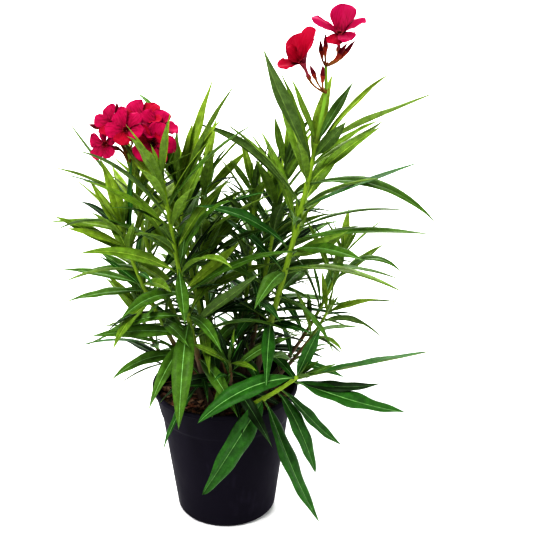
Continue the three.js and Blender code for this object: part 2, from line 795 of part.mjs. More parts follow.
// Every limb, twig and flower stands before the first leaf, so leaves give way to them.
const curves = new Map(shoots.map((shoot) => [shoot.name, stemCurve(shoot)]));
for (const shoot of shoots) {
  const curve = curves.get(shoot.name);
  const name = "stem_" + shoot.name;
  plant.add(meshOf(name, place(name, makeLimb(shoot, curve)), 0x76643c, 0.75));
  place("foliage_" + shoot.name, makeTwig(shoot, curve));
}

for (const head of flowerHeads) {
  const name = "flowers_" + head.name;
  const shoot = shoots.find((candidate) => candidate.name === head.shoot);
  const forks = head.forks.map((fork) => vec(...fork));
  const pieces = [makePeduncle(head, shoot, curves.get(shoot.name))];
  for (const bloom of head.flowers) pieces.push(makeFlower(bloom, forks[bloom.fork]));
  for (const closed of head.buds) pieces.push(makeBud(closed, forks[closed.fork]));
  plant.add(meshOf(name, place(name, fuse(pieces)), 0xc2103f, 0.55));
}

// The leaves that stand out take their places first, on every shoot, and the whorls fill in between.
for (const leavesOf of [standingLeaves, whorledLeaves]) {
  for (const shoot of shoots) {
    for (const leaf of leavesOf(shoot, curves.get(shoot.name))) growLeaf("foliage_" + shoot.name, leaf);
  }
}

for (const shoot of shoots) {
  const name = "foliage_" + shoot.name;
  const grown = placed.filter(({ owner }) => owner === name).map(({ solid }) => solid);
  plant.add(meshOf(name, fuse(grown), 0x3f7a26, 0.5));
}

export default plant;
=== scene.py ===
import math

import bpy
import numpy as np
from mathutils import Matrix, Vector, noise
from mathutils.bvhtree import BVHTree


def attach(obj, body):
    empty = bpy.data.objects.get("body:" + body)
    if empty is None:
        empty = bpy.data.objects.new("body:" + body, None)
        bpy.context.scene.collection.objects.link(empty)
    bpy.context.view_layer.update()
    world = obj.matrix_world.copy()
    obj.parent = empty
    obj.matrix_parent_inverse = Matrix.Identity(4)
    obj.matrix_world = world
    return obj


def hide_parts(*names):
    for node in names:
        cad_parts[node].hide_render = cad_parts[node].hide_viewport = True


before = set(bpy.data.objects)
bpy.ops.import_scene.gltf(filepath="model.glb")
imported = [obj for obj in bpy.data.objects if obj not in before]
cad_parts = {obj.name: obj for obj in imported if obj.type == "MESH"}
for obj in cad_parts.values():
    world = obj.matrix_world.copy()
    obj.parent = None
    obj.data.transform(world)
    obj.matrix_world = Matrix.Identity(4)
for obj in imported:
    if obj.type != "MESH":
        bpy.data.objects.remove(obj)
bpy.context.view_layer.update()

mm = 0.001
clearance = 0.3  # between pieces that meet in the frame, mm
soilLevel = 148  # mm

# Leaves stand three at a node, each whorl turned against the one below it.
leafRule = {
    "perWhorl": 3,
    "whorlTurn": 60,
    "swing": 14,  # how far a leaf strays round the stem, degrees
    "waver": 9,  # how far it strays up or down, degrees
    "twist": 28,  # how far its blade rolls, degrees
    "lengthSpread": (0.88, 1.12),  # least and most, times the length
    "droopSpread": (0.5, 1.5),
    "lift": 0.25,  # how much the leaf's foot follows the stem
    "petiole": 0.05,  # share of the length without a blade
    "slimness": 0.16,  # widest part of the blade over its length
    "whorlBreadth": 0.9,  # breadth of the leaves that don't stand out, against the others
    "petioleHalfWidth": 0.9,
    "bunching": 0.9,
    "youngest": 0.62,
    "oldest": 0.82,
    "fullAt": 0.45,
    "aimRounds": 12,
}

# Places that a leaf may have taken in the frame: turn and rise in degrees, share of its length.
leafShifts = [
    (0, 0, 1), (9, 0, 1), (-9, 0, 1), (0, -8, 1), (0, 8, 0.97), (18, -4, 0.97),
    (-18, -4, 0.97), (14, 9, 0.9), (-14, 9, 0.9), (26, 0, 0.86), (-26, 0, 0.86), (0, 0, 0.7),
]

# The shoots, each one curve from the soil to its tip. The youth value is how fresh and how lit its leaves
# look:
# low values give dark tones that partly paint the shade low and inside the crown. fill is how many thin inner
# leaves it has. A row of leaves is one that stands out: place on the curve, where its tip reaches, droop,
# roll, breadth, freshness and light.
shoots = [
    {
        "name": "right",
        "foot": (28, -8), "knee": (55, -18, 255), "neck": (84, -28, 365), "tip": (102, -32, 468),
        "radius": (3.9, 2.5), "leafFrom": 0.32, "whorls": 9, "leafLength": 140,
        "spread": (86, 26), "droop": (0.6, 0.1), "turn": 12, "seed": 9, "youthAndLight": 0.42, "fill": 6,
        "leaves": [
            (0.92, (45, -70, 580), -0.5, -15, 1, 0.5),
            (0.99, (75, 10, 530), -0.1, -15, 1, 0.8),
            (0.99, (145, 15, 525), 0.3, 15, 1, 0.5),
            (0.95, (180, -15, 540), 0.3, 15, 1, 0.85),
            (0.99, (230, 0, 515), -0.1, 45, 1, 0.65),
            (0.92, (180, 20, 480), -0.5, 0, 1, 0.6),
            (0.94, (130, -95, 510), -0.1, 30, 1, 0.6),
            (0.76, (215, -25, 445), -0.1, 15, 1, 0.3),
            (0.85, (240, 0, 365), 1, 0, 1, 0.35),
            (0.64, (225, -60, 375), 0.1, 0, 1, 0.35),
            (0.57, (135, -90, 390), -0.5, 60, 1, 0.85),
            (0.77, (-30, 20, 475), 0.6, -45, 1, 0.3),
            (0.53, (195, -90, 320), 0.3, 0, 1, 0.5),
        ],
    },
    {
        "name": "front",
        "foot": (-15, -25), "knee": (-36, -44, 235), "neck": (-46, -62, 330), "tip": (-60, -70, 438),
        "radius": (3.6, 2.1), "leafFrom": 0.13, "whorls": 10, "leafLength": 130,
        "spread": (92, 28), "droop": (1.1, 0.1), "turn": 6, "seed": 290, "youthAndLight": 0.4, "fill": 20,
        "leaves": [
            (0.94, (-90, -115, 500), 0.6, 0, 1, 0.8),
            (0.91, (35, -90, 505), 0.3, 0, 1, 0.25),
            (0.66, (15, -95, 425), 0.8, -15, 1, 0.6),
            (0.86, (-150, -50, 465), 0.6, -45, 1, 0.3),
            (0.71, (-175, -20, 375), 1, -30, 1, 0.5),
            (0.67, (-35, -150, 310), -0.5, 15, 1, 0.3),
            (0.43, (-45, -150, 185), 2, 0, 1.1, 0.2),
            (0.4, (45, -105, 350), -0.1, 45, 1, 0.35),
            (0.57, (20, -30, 355), -0.3, -45, 1, 0.85),
            (0.37, (-145, -75, 260), 0.1, 15, 1, 0.25),
        ],
    },
    {
        "name": "low_front",
        "foot": (22, -42), "knee": (36, -62, 172), "neck": (56, -86, 192), "tip": (82, -105, 225),
        "radius": (3.2, 2.1), "leafFrom": 0.42, "whorls": 0, "turn": 0, "seed": 33, "youthAndLight": 0.3,
        "barkFrom": 185,
        "leaves": [
            (0.47, (-20, -175, 120), -0.1, 15, 1.5, 0.18),
            (0.48, (110, -100, 35), -0.5, 15, 1.15, 0.26),
            (0.71, (105, -90, 95), 0.1, 0, 1.3, 0.12),
            (0.77, (135, -70, 120), -0.5, 15, 1.1, 0.25),
            (0.99, (-25, -145, 190), 1, -15, 1.25, 0.2),
            (0.99, (105, -140, 300), 0.3, 60, 1.15, 0.25),
            (0.99, (235, -50, 230), -0.1, 60, 1, 0.3),
            (0.93, (175, -100, 215), -0.5, 15, 1, 0.25),
            (0.94, (200, -120, 190), -0.3, 0, 1.25, 0.28),
        ],
    },
    {
        "name": "left",
        "foot": (-28, -8), "knee": (-62, -18, 240), "neck": (-104, -38, 320), "tip": (-107, -40, 374),
        "radius": (3, 1.7), "leafFrom": 0.4, "whorls": 7, "leafLength": 112,
        "spread": (78, 34), "droop": (0.4, 0.1), "turn": 57, "seed": 43, "youthAndLight": 0.86, "fill": 12,
        "leaves": [
            (0.94, (-130, -40, 455), 0.6, 30, 1, 0.9),
            (0.83, (-95, -40, 455), 0.1, -15, 1, 0.25),
            (0.86, (-170, -45, 380), 0.1, 30, 1, 0.7),
            (0.59, (-175, -50, 290), 0.3, 15, 1, 0.35),
        ],
    },
    {
        "name": "bloom_left",
        "foot": (-20, 5), "knee": (-62, -2, 270), "neck": (-104, -6, 360), "tip": (-92, -10, 425),
        "radius": (3.2, 1.9), "leafFrom": 0.36, "whorls": 8, "leafLength": 112,
        "spread": (74, 40), "droop": (0.4, 0.1), "turn": 0, "seed": 116, "youthAndLight": 0.85, "fill": 20,
        "leaves": [
            (0.77, (-175, 50, 470), -0.3, -45, 1, 0.3),
        ],
    },
    {
        "name": "centre",
        "foot": (-5, 5), "knee": (-26, 4, 235), "neck": (-44, -4, 330), "tip": (-48, -10, 412),
        "radius": (3.2, 1.8), "leafFrom": 0.34, "whorls": 7, "leafLength": 125,
        "spread": (78, 18), "droop": (0.5, 0.05), "turn": 42, "seed": 63, "youthAndLight": 1.2, "fill": 24,
        "leaves": [
            (0.99, (0, 30, 520), -0.5, 0, 1, 1),
            (0.95, (15, -25, 530), 0.2, 15, 1, 1.05),
            (0.96, (0, 0, 485), 0.6, -30, 1, 1.05),
            (0.98, (-60, 60, 475), 1.5, 60, 1, 0.3),
            (0.95, (-95, 20, 510), 1, -45, 1, 0.3),
        ],
    },
    {
        "name": "side_right",
        "foot": (40, 12), "knee": (78, 18, 185), "neck": (118, 26, 245), "tip": (137, 32, 312),
        "radius": (2.8, 1.5), "leafFrom": 0.48, "whorls": 4, "leafLength": 105,
        "spread": (70, 36), "droop": (0.3, 0.2), "turn": 39, "seed": 277, "youthAndLight": 0.55, "fill": 10,
        "leaves": [
            (0.82, (205, 10, 300), 1.5, -30, 1, 0.3),
        ],
    },
    {
        "name": "side_low",
        "foot": (40, -10), "knee": (62, -6, 175), "neck": (98, -6, 215), "tip": (118, -10, 258),
        "radius": (2.6, 1.5), "leafFrom": 0.48, "whorls": 3, "leafLength": 92,
        "spread": (70, 45), "droop": (0.3, 0.25), "turn": 0, "seed": 62, "youthAndLight": 0.5, "fill": 8,
        "leaves": [
            (0.91, (180, -50, 245), 1, 45, 1, 0.25),
        ],
    },
    {
        "name": "side_left",
        "foot": (-36, 2), "knee": (-60, 0, 180), "neck": (-90, -4, 215), "tip": (-96, -6, 262),
        "radius": (2.6, 1.5), "leafFrom": 0.42, "whorls": 4, "leafLength": 100,
        "spread": (70, 45), "droop": (0.3, 0.2), "turn": 0, "seed": 88, "youthAndLight": 0.25, "fill": 10,
    },
    {
        "name": "sprig",
        "foot": (6, -42), "knee": (8, -48, 175), "neck": (10, -56, 195), "tip": (8, -66, 222),
        "radius": (2.4, 1.5), "leafFrom": 0.4, "whorls": 4, "leafLength": 100,
        "spread": (95, 50), "droop": (1.3, 0.4), "turn": 6, "seed": 387, "youthAndLight": -0.25, "fill": 12,
    },
    {
        "name": "inner_left",
        "foot": (0, 20), "knee": (-23, 20, 240), "neck": (-32, 22, 340), "tip": (-20, 20, 410),
        "radius": (3, 1.7), "leafFrom": 0.2, "whorls": 8, "leafLength": 112,
        "spread": (80, 32), "droop": (0.5, 0.1), "turn": 27, "seed": 386, "youthAndLight": 0.44, "fill": 66,
    },
    {
        "name": "inner_middle",
        "foot": (12, 24), "knee": (20, 24, 230), "neck": (36, 25, 330), "tip": (34, 25, 392),
        "radius": (3, 1.7), "leafFrom": 0.17, "whorls": 8, "leafLength": 110,
        "spread": (82, 34), "droop": (0.5, 0.1), "turn": 42, "seed": 295, "youthAndLight": 0.34, "fill": 76,
    },
    {
        "name": "inner_right",
        "foot": (24, 18), "knee": (36, 24, 240), "neck": (58, 30, 340), "tip": (70, 34, 420),
        "radius": (3, 1.7), "leafFrom": 0.19, "whorls": 8, "leafLength": 115,
        "spread": (78, 26), "droop": (0.5, 0.1), "turn": 48, "seed": 184, "youthAndLight": 0.48, "fill": 66,
        "leaves": [
            (0.93, (75, 10, 485), 1, -15, 1, 0.45),
        ],
    },
    {
        "name": "rear_left",
        "foot": (-14, 40), "knee": (-30, 62, 220), "neck": (-42, 84, 300), "tip": (-48, 92, 360),
        "radius": (3.2, 1.8), "leafFrom": 0.14, "whorls": 8, "leafLength": 118,
        "spread": (82, 32), "droop": (0.6, 0.1), "turn": 33, "seed": 262, "youthAndLight": 0.22, "fill": 54,
    },
    {
        "name": "rear_right",
        "foot": (18, 42), "knee": (34, 66, 220), "neck": (52, 90, 290), "tip": (58, 100, 345),
        "radius": (3.2, 1.8), "leafFrom": 0.14, "whorls": 8, "leafLength": 118,
        "spread": (82, 34), "droop": (0.6, 0.1), "turn": 21, "seed": 262, "youthAndLight": 0.22, "fill": 54,
    },
]

# The flower heads. A flower has the middle of its throat, the way it faces, its spin, the size and rise
# of its petals, its fork and the color of its face, or a row for each petal: its tip, roll and breadth.
# A bud has its tip, its base and its fork.
flowerHeads = [
    {
        "name": "right", "shoot": "right", "forks": [(112, -32, 523), (111, -32, 552)],
        "flowers": [
            {"throat": (124, -40, 588), "facing": (0.02, -0.34, 0.94), "fork": 1, "face": "magenta",
             "petals": [
                 ((127, -24, 615), 0, 1.08),
                 ((95, -46, 603), 3, 0.8),
                 ((150, -38, 603), 7, 0.7),
                 ((136, -60, 585), -5, 0.85),
                 ((118, -58, 580), 5, 0.7),
             ]},
            {"throat": (86, -40, 558), "facing": (-0.35, -0.3, 0.88), "fork": 0, "face": "crimson",
             "petals": [
                 ((93, -30, 593), 0, 1),
                 ((77, -26, 583), 8, 1.15),
                 ((97, -54, 584), 5, 0.95),
                 ((61, -48, 554), 10, 0.72),
                 ((69, -40, 570), 0, 1),
             ]},
        ],
        "buds": [
            ((110, -34, 586), (110, -33, 563), 1),
            ((105, -25, 577), (107, -25, 559), 1),
            ((141, -30, 578), (126, -30, 559), 1),
            ((132, -42, 578), (120, -40, 559), 1),
            ((94, -48, 556), (100, -45, 541), 0),
            ((107, -50, 557), (107, -47, 538), 0),
        ],
    },
    {
        "name": "left", "shoot": "bloom_left", "forks": [(-102, -13, 440), (-104, -14, 452)],
        "flowers": [
            {"throat": (-115, -24, 489), "facing": (-0.3, -0.6, 0.74), "spin": 38, "size": 0.7, "rise": 18,
             "fork": 1, "face": "rose"},
            {"throat": (-123, -36, 468), "facing": (-0.5, -0.75, 0.45), "spin": 20, "size": 0.65, "rise": 12,
             "fork": 0, "face": "rose"},
            {"throat": (-99, -46, 487), "facing": (-0.15, -0.7, 0.7), "spin": 50, "size": 0.75, "rise": 16,
             "fork": 1, "face": "crimson"},
            {"throat": (-85, -20, 491), "facing": (0.05, -0.45, 0.88), "spin": 55, "size": 0.85, "rise": 20,
             "fork": 1, "face": "crimson"},
            {"throat": (-68, -32, 484), "facing": (0.35, -0.55, 0.75), "spin": 10, "size": 0.8, "rise": 18,
             "fork": 1, "face": "rose"},
            {"throat": (-71, -46, 471), "facing": (0.25, -0.9, 0.35), "spin": 5, "size": 0.85, "rise": 10,
             "fork": 0, "face": "rose"},
        ],
        "buds": [
            ((-141, -26, 487), (-128, -24, 482), 0),
            ((-112, -6, 506), (-113, -8, 490), 1),
            ((-102, -30, 502), (-100, -28, 485), 1),
        ],
    },
]

down = np.array([0.0, 0.0, -1.0])


def mix(a, b, share):
    return a + (b - a) * share


def unit(v):
    return v / np.linalg.norm(v, axis=-1, keepdims=True)


def smooth(low, high, value):
    t = np.clip((value - low) / (high - low), 0, 1)
    return t * t * (3 - 2 * t)


# Two directions at right angles, both turned by an angle in their own plane.
def turned(a, b, angle):
    return a * np.cos(angle) + b * np.sin(angle), b * np.cos(angle) - a * np.sin(angle)


# Seeded chance between 0 and 1: the same draws as in the part's source.
def chance(seed):
    state = seed * 7919 + 17

    def draw():
        nonlocal state
        state = (state * 1664525 + 1013904223) % 4294967296
        return state / 4294967296

    for _ in range(4):
        draw()
    return draw


# Two directions across a way, the first as near to +X as it can be.
def crossAxes(way):
    east = unit(np.array([1.0, 0.0, 0.0]) - way * way[0])
    return east, np.cross(way, east)


def anglesAround(count):
    return np.arange(count) * 2 * math.pi / count


# Directions across a way, spread evenly round it. turn moves them on by a share of a step.
def waysAround(way, count, turn=0.0):
    return [turned(*crossAxes(way), 2 * math.pi * (i + turn) / count)[0] for i in range(count)]


# A closed skin over rings of points. In the OFBake map its columns unroll into panels: widths says how
# many go into each, and without it all go into one. notes are three numbers for each point, which the
# materials read.
def skinPart(rings, slots, widths=None, apex=None, notes=(0, 0, 0)):
    rows, columns = rings.shape[:2]
    widths = widths or [columns]
    count = rows * columns
    grid = np.arange(count).reshape(rows, columns)
    wrapped = np.roll(grid, -1, axis=1)
    quads = np.stack([grid[:-1], wrapped[:-1], wrapped[1:], grid[1:]], -1).reshape(-1, 4)
    foot = np.stack([wrapped[0], grid[0], np.full(columns, count)], -1)
    head = np.stack([grid[-1], wrapped[-1], np.full(columns, count + 1)], -1)

    panel = np.repeat(np.arange(len(widths)), widths)[:, None]
    left = np.concatenate([np.arange(width) / width for width in widths])
    right = np.concatenate([np.arange(1, width + 1) / width for width in widths])
    middle = (left + right) / 2
    level = np.arange(rows) / (rows - 1)

    def mapped(shape, across, upward):
        places = [np.broadcast_to(place, shape) for place in (panel, np.stack(across, -1), upward)]
        return np.stack(places, -1).reshape(-1, shape[-1], 3)

    upward = np.stack([level[:-1], level[:-1], level[1:], level[1:]], -1)[:, None]
    quadMap = mapped((rows - 1, columns, 4), [left, right, right, left], upward)
    footMap = mapped((columns, 3), [right, left, middle], (0.002, 0.002, 0))
    headMap = mapped((columns, 3), [left, right, middle], (0.998, 0.998, 1))

    slots = np.broadcast_to(slots, (rows - 1, columns))
    notes = np.stack([np.broadcast_to(note, (rows, columns)) for note in notes], -1)
    ends = [rings[0].mean(0), rings[-1].mean(0) if apex is None else apex]
    return {
        "points": np.vstack([rings.reshape(-1, 3), ends]),
        "notes": np.vstack([notes.reshape(-1, 3), notes[0].mean(0), notes[-1].mean(0)]),
        "panels": len(widths),
        "faces": [
            (quads, quadMap, slots.ravel()),
            (np.vstack([foot, head]), np.vstack([footMap, headMap]), np.concatenate([slots[0], slots[-1]])),
        ],
    }


# One mesh of many parts, with every panel in a cell of its own in the OFBake map.
def makeMesh(name, parts, materials, tallness=1.0):
    panelCount = sum(part["panels"] for part in parts)
    across = max(1, round(math.sqrt(tallness * panelCount)))
    upward = math.ceil(panelCount / across)
    margin = 0.04  # empty share of a cell on each side
    faces, slots, maps = [], [], []
    start, firstPanel = 0, 0
    for part in parts:
        for corners, places, faceSlots in part["faces"]:
            faces.extend((corners + start).tolist())
            slots.append(faceSlots)
            cell = places[..., 0] + firstPanel
            u = (cell % across + margin + (1 - 2 * margin) * places[..., 1]) / across
            v = (cell // across + margin + (1 - 2 * margin) * places[..., 2]) / upward
            maps.append(np.stack([u, v], -1).ravel())
        start += len(part["points"])
        firstPanel += part["panels"]
    mesh = bpy.data.meshes.new(name)
    mesh.from_pydata(np.vstack([part["points"] for part in parts]).tolist(), [], faces)
    mesh.polygons.foreach_set("material_index", np.concatenate(slots).astype(np.int32))
    mesh.polygons.foreach_set("use_smooth", [True] * len(faces))
    mesh.uv_layers.new(name="OFBake").data.foreach_set("uv", np.concatenate(maps).astype(np.float32))
    place = mesh.attributes.new("place", "FLOAT_VECTOR", "POINT")
    place.data.foreach_set("vector", np.vstack([part["notes"] for part in parts]).astype(np.float32).ravel())
    for material in materials:
        mesh.materials.append(material)
    mesh.update()
    piece = bpy.data.objects.new(name, mesh)
    bpy.context.scene.collection.objects.link(piece)
    return piece


def makePiece(name, parts, materials, replaced, tallness=1.0):
    piece = makeMesh(name, parts, materials, tallness)
    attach(piece, "root")
    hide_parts(*replaced)
    return piece


def noRelief(i, angles):
    return 0 * angles


# Rings of points round a line. relief is what ring i adds at each angle, as a share of its radius.
def tubeRings(centres, ways, radii, sides, relief=noRelief):
    angles = anglesAround(sides)
    rings = []
    for i, (centre, way, radius) in enumerate(zip(centres, ways, radii)):
        east, north = crossAxes(way)
        girth = radius * (1 + relief(i, angles))
        across, upward = np.cos(angles) * girth, np.sin(angles) * girth
        rings.append(centre + np.outer(across, east) + np.outer(upward, north))
    return np.array(rings)


# A round part along a line of centres, closed flat or drawn out to a point.
def roundPart(centres, radii, sides, slots, point=None, relief=noRelief):
    centres, radii = np.array(centres), np.array(radii)
    around = anglesAround(sides)
    heights = np.cumsum([0, *np.linalg.norm(np.diff(centres, axis=0), axis=1)])
    notes = (np.outer(radii / mm, np.cos(around)) * 1.5, heights[:, None] / mm, np.sin(around))
    rings = tubeRings(centres, unit(np.gradient(centres, axis=0)), radii, sides, relief)
    return skinPart(rings, slots, None, point, notes)


# A material in the making, with short ways to add its nodes.
class Finish:
    def __init__(self, name, roughness, specular):
        self.material = bpy.data.materials.new(name)
        self.material.use_nodes = True
        self.links = self.material.node_tree.links
        self.shader = self.material.node_tree.nodes["Principled BSDF"]
        self.shader.inputs["Roughness"].default_value = roughness
        self.shader.inputs["Specular IOR Level"].default_value = specular

    def add(self, kind, **settings):
        node = self.material.node_tree.nodes.new("ShaderNode" + kind)
        for key, value in settings.items():
            if key in node.inputs:
                node.inputs[key].default_value = value
            else:
                setattr(node, key, value)
        return node

    # The place notes of a mesh, whole and one by one.
    def notes(self):
        place = self.add("Attribute", attribute_name="place").outputs["Vector"]
        parts = self.add("SeparateXYZ")
        self.links.new(place, parts.inputs["Vector"])
        return place, *parts.outputs

    def position(self):
        return self.add("TexCoord").outputs["Object"]

    def stretched(self, vector, scale):
        mapping = self.add("Mapping", Scale=scale)
        self.links.new(vector, mapping.inputs["Vector"])
        return mapping.outputs["Vector"]

    def noise(self, vector, scale, detail):
        texture = self.add("TexNoise", Scale=scale, Detail=detail)
        self.links.new(vector, texture.inputs["Vector"])
        return texture.outputs["Fac"]

    def calc(self, operation, *values):
        node = self.add("Math", operation=operation)
        for socket, value in zip(node.inputs, values):
            if isinstance(value, (int, float)):
                socket.default_value = value
            else:
                self.links.new(value, socket)
        return node.outputs[0]

    # Base color from a value, by a ramp through the stops.
    def paint(self, value, stops):
        ramp = self.add("ValToRGB")
        elements = ramp.color_ramp.elements
        while len(elements) < len(stops):
            elements.new(0.5)
        for element, (position, color) in zip(elements, stops):
            element.position = position
            element.color = (*color, 1)
        self.links.new(value, ramp.inputs["Fac"])
        self.links.new(ramp.outputs["Color"], self.shader.inputs["Base Color"])

    def bump(self, height, strength, distance):
        bump = self.add("Bump", Strength=strength, Distance=distance)
        self.links.new(height, bump.inputs["Height"])
        self.links.new(bump.outputs["Normal"], self.shader.inputs["Normal"])


def tinted(color, share, lift=0):
    return tuple(np.array(color) * share + lift)


# Leaf green: fine side veins that leave the midrib at a steep angle, a soft mottle and flecks.
leafSurface = {
    "roughness": 0.46,
    "specular": 0.2,
    "veinPitch": 1.5,  # mm between side veins
    "veinSlant": -0.45,
    "veinTone": 0.12,
    "fleckTone": 0.45,
    "relief": (0.3, 0.0004),  # strength, and depth in metres
    "darker": 0.74,
    "paler": 1.34,
}


def leafFinish(name, color):
    look = leafSurface
    finish = Finish(name, look["roughness"], look["specular"])
    place, across, along, _ = finish.notes()
    run = finish.calc("MULTIPLY_ADD", finish.calc("ABSOLUTE", across), look["veinSlant"], along)
    wave = finish.calc("SINE", finish.calc("MULTIPLY", run, 2 * math.pi / look["veinPitch"]))
    vein = finish.calc("POWER", finish.calc("MULTIPLY_ADD", wave, 0.5, 0.5), 3.0)
    mottle = finish.noise(place, 0.11, 4.0)
    flecks = finish.calc("SUBTRACT", finish.noise(place, 0.55, 2.0), 0.5)
    tone = finish.calc("MULTIPLY_ADD", flecks, look["fleckTone"], mottle)
    tone = finish.calc("MULTIPLY_ADD", vein, look["veinTone"], tone)
    dark, pale = tinted(color, look["darker"]), tinted(color, look["paler"])
    finish.paint(tone, [(0.34, dark), (0.54, color), (0.76, pale)])
    finish.bump(finish.calc("MULTIPLY_ADD", mottle, 2.0, vein), *look["relief"])
    return finish.material


# A leaf blade: folded along its midrib, a little cambered, its margins rolled under and gently waved.
leafLook = {
    "stations": 28,
    "smallStations": 13,
    "smallLength": 60,  # mm, leaves up to this long have fewer stations
    "columns": (0.36, 0.68, 0.94, 1.0),  # shares of the half width that carry a line of points
    "thickness": 0.5,  # mm
    "petioleThickness": 1.5,  # mm
    "foldFoot": 40,  # degrees, each side of the midrib
    "fold": 12,
    "foldTip": 19,
    "camber": 0.11,  # over the half width
    "edgeRoll": 0.13,
    "foldSpread": (0.65, 1.45),  # least and most, times the fold
    "foldYouth": 0.4,  # how much more a fresh leaf is folded
    "wave": 0.09,  # height of the waves of its margins, over the half width
    "waveSpread": (0.3, 1.5),
    "waves": (1.4, 3.6),  # least and most along a margin
    "twistAlong": 20,  # degrees from foot to tip, either way
    "sway": 0.022,  # sideways bow over the length
    "ribHalfWidth": (0.75, 0.14),  # mm, foot and tip
    "ribDepth": (1.1, 0.3),
    "fullLength": 120,  # mm, the length that the midrib's sizes are for
    "ribShare": 0.55,  # most of the half width that the midrib takes
    "freshTip": 0.74,  # freshness and light of a shoot's last whorl, and what its youth value adds
    "freshYouth": 0.42,
    "toneSpread": 0.3,
    "tiredShare": 0.01,
}


# Which way a midrib runs at shares s of its length, when it leaves the stem along first.
def midribWay(way, first, droop, s):
    s = s[:, None]
    return unit(first + way * leafRule["lift"] * (1 - s) ** 2 + down * droop * s**1.4)


def leafPath(leaf, shares):
    way = leaf["way"]
    heading, spread, roll = (math.radians(leaf[key]) for key in ("heading", "spread", "roll"))
    outward = turned(*crossAxes(way), heading)[0]
    first = turned(way, outward, spread)[0]
    flat = unit(np.cross(first, way))
    flat = turned(flat, np.cross(flat, first), roll)[0]

    def aim(s):
        return midribWay(way, first, leaf["droop"], s)

    steps = 60
    strides = aim((np.arange(steps) + 0.5) / steps) * leaf["length"] / steps
    line = leaf["at"] + np.vstack([np.zeros(3), np.cumsum(strides, axis=0)])
    points = np.stack([np.interp(shares, np.linspace(0, 1, steps + 1), axis) for axis in line.T], -1)
    ahead = aim(shares)
    side = unit(flat - ahead * (ahead @ flat)[:, None])
    return points, side, np.cross(side, ahead)


# Half the blade's width at each share of its length: lance-shaped, widest just below the middle. Broad
# leaves are fuller toward both ends.
def bladeHalfWidth(length, breadth, shares):
    rule = leafRule
    along = np.clip((shares - rule["petiole"]) / (1 - rule["petiole"]), 0, 1)
    fullness = 1.12 / max(1, breadth) ** 1.6
    shape = np.maximum(0, np.sin(math.pi * along**0.86)) ** fullness
    petiole = rule["petioleHalfWidth"] * mm * min(1, length / (60 * mm)) * (1 - smooth(0.05, 0.3, shares))
    return np.maximum(petiole, 0.5 * rule["slimness"] * length * breadth * shape)


def growBlade(leaf, slots):
    look = leafLook
    draw = chance(leaf["seed"])
    length = leaf["length"]
    scale = min(1, length / (look["fullLength"] * mm))
    stations = look["stations"] if length > look["smallLength"] * mm else look["smallStations"]
    shares = np.linspace(0, 1, stations + 1)[:-1]
    points, side, face = leafPath(leaf, shares)
    half = bladeHalfWidth(length, leaf["breadth"], shares)

    twist = look["twistAlong"] * (draw() - 0.5) * 2 * shares**1.5
    side, face = turned(side, face, np.radians(twist)[:, None])
    points = points + side * (look["sway"] * (draw() - 0.5) * 2 * length * np.sin(math.pi * shares))[:, None]

    rib = np.minimum(mix(*look["ribHalfWidth"], shares) * mm * scale, look["ribShare"] * half)
    ribDepth = mix(*look["ribDepth"], shares) * mm * scale * (1 - 0.5 * smooth(0.85, 1, shares))
    folding = mix(*look["foldSpread"], draw()) + look["foldYouth"] * leaf["fresh"]
    fold = mix(look["foldFoot"], look["fold"], smooth(0, 0.22, shares))
    fold = np.radians(mix(fold, look["foldTip"], smooth(0.6, 1, shares)) * folding)
    thick = mix(look["petioleThickness"], look["thickness"], smooth(0, 0.12, shares)) * mm * scale
    waves = mix(*look["waves"], draw())
    phases = (draw() * 2 * math.pi, draw() * 2 * math.pi)
    waviness = look["wave"] * mix(*look["waveSpread"], draw())

    # Lines of points from the midrib to one margin: how far aside, how high, and the note across.
    def bladeSide(sign, phase):
        upper, lower = [], []
        for across in (rib / half, *look["columns"]):
            reach = across * half
            bulge = look["camber"] * half * np.sin(math.pi * across)
            rolled = look["edgeRoll"] * half * smooth(0.6, 1, across) ** 2
            swell = waviness * half * across**2 * np.sin(2 * math.pi * waves * shares + phase)
            x = sign * np.cos(fold) * reach
            y = np.sin(fold) * reach + bulge - rolled + swell * smooth(0.05, 0.3, shares)
            if not upper:
                upper.append((x, y - 0.12 * ribDepth, sign * rib))
                lower.append((x * 0.8, y - thick - 0.35 * ribDepth, sign * rib))
                continue
            upper.append((x, y, sign * reach))
            if across < 1:
                lower.append((x, y - thick * (1 - across**6), sign * reach))
        return upper, lower

    upperLeft, lowerLeft = bladeSide(-1, phases[0])
    upperRight, lowerRight = bladeSide(1, phases[1])
    zero = np.zeros(len(shares))
    crease, keel = (zero, -0.02 * ribDepth, zero), (zero, -thick - ribDepth, zero)
    rows = [*upperLeft[::-1], crease, *upperRight, *lowerRight[::-1], keel, *lowerLeft]
    rings = np.stack([points + side * x[:, None] + face * y[:, None] for x, y, _ in rows], 1)
    across = np.stack([note for _, _, note in rows], 1) / mm
    notes = (across, shares[:, None] * length / mm, draw())

    count = len(look["columns"])
    columnSlots = []
    for blade, midrib in (("face", "rib"), ("back", "ribBack")):
        columnSlots += [slots[blade]] * count + [slots[midrib]] * 2 + [slots[blade]] * count
    tip = leafPath(leaf, np.array([1.0]))[0][0]
    return skinPart(rings, columnSlots, [2 * count + 2] * 2, tip, notes)


def leafAt(curve, share, **traits):
    at, way = curve["at"](share), curve["way"](share)
    return {"at": at, "way": way, "breadth": leafRule["whorlBreadth"], **traits}


# A leaf that ends at a tip: it is aimed so that its bent midrib comes out there.
def leafTo(curve, share, tip, droop, **traits):
    way = curve["way"](share)
    goal = np.array(tip) * mm - curve["at"](share)
    straight = unit(goal)
    first = straight
    halfSteps = (np.arange(20) + 0.5) / 20
    for _ in range(leafRule["aimRounds"]):
        reach = midribWay(way, first, droop, halfSteps).mean(0)
        first = unit(first + straight - unit(reach))
    east, north = crossAxes(way)
    return leafAt(
        curve, share, heading=math.degrees(math.atan2(first @ north, first @ east)),
        spread=math.degrees(math.acos(first @ way)), length=np.linalg.norm(goal) / np.linalg.norm(reach),
        droop=droop, **traits)


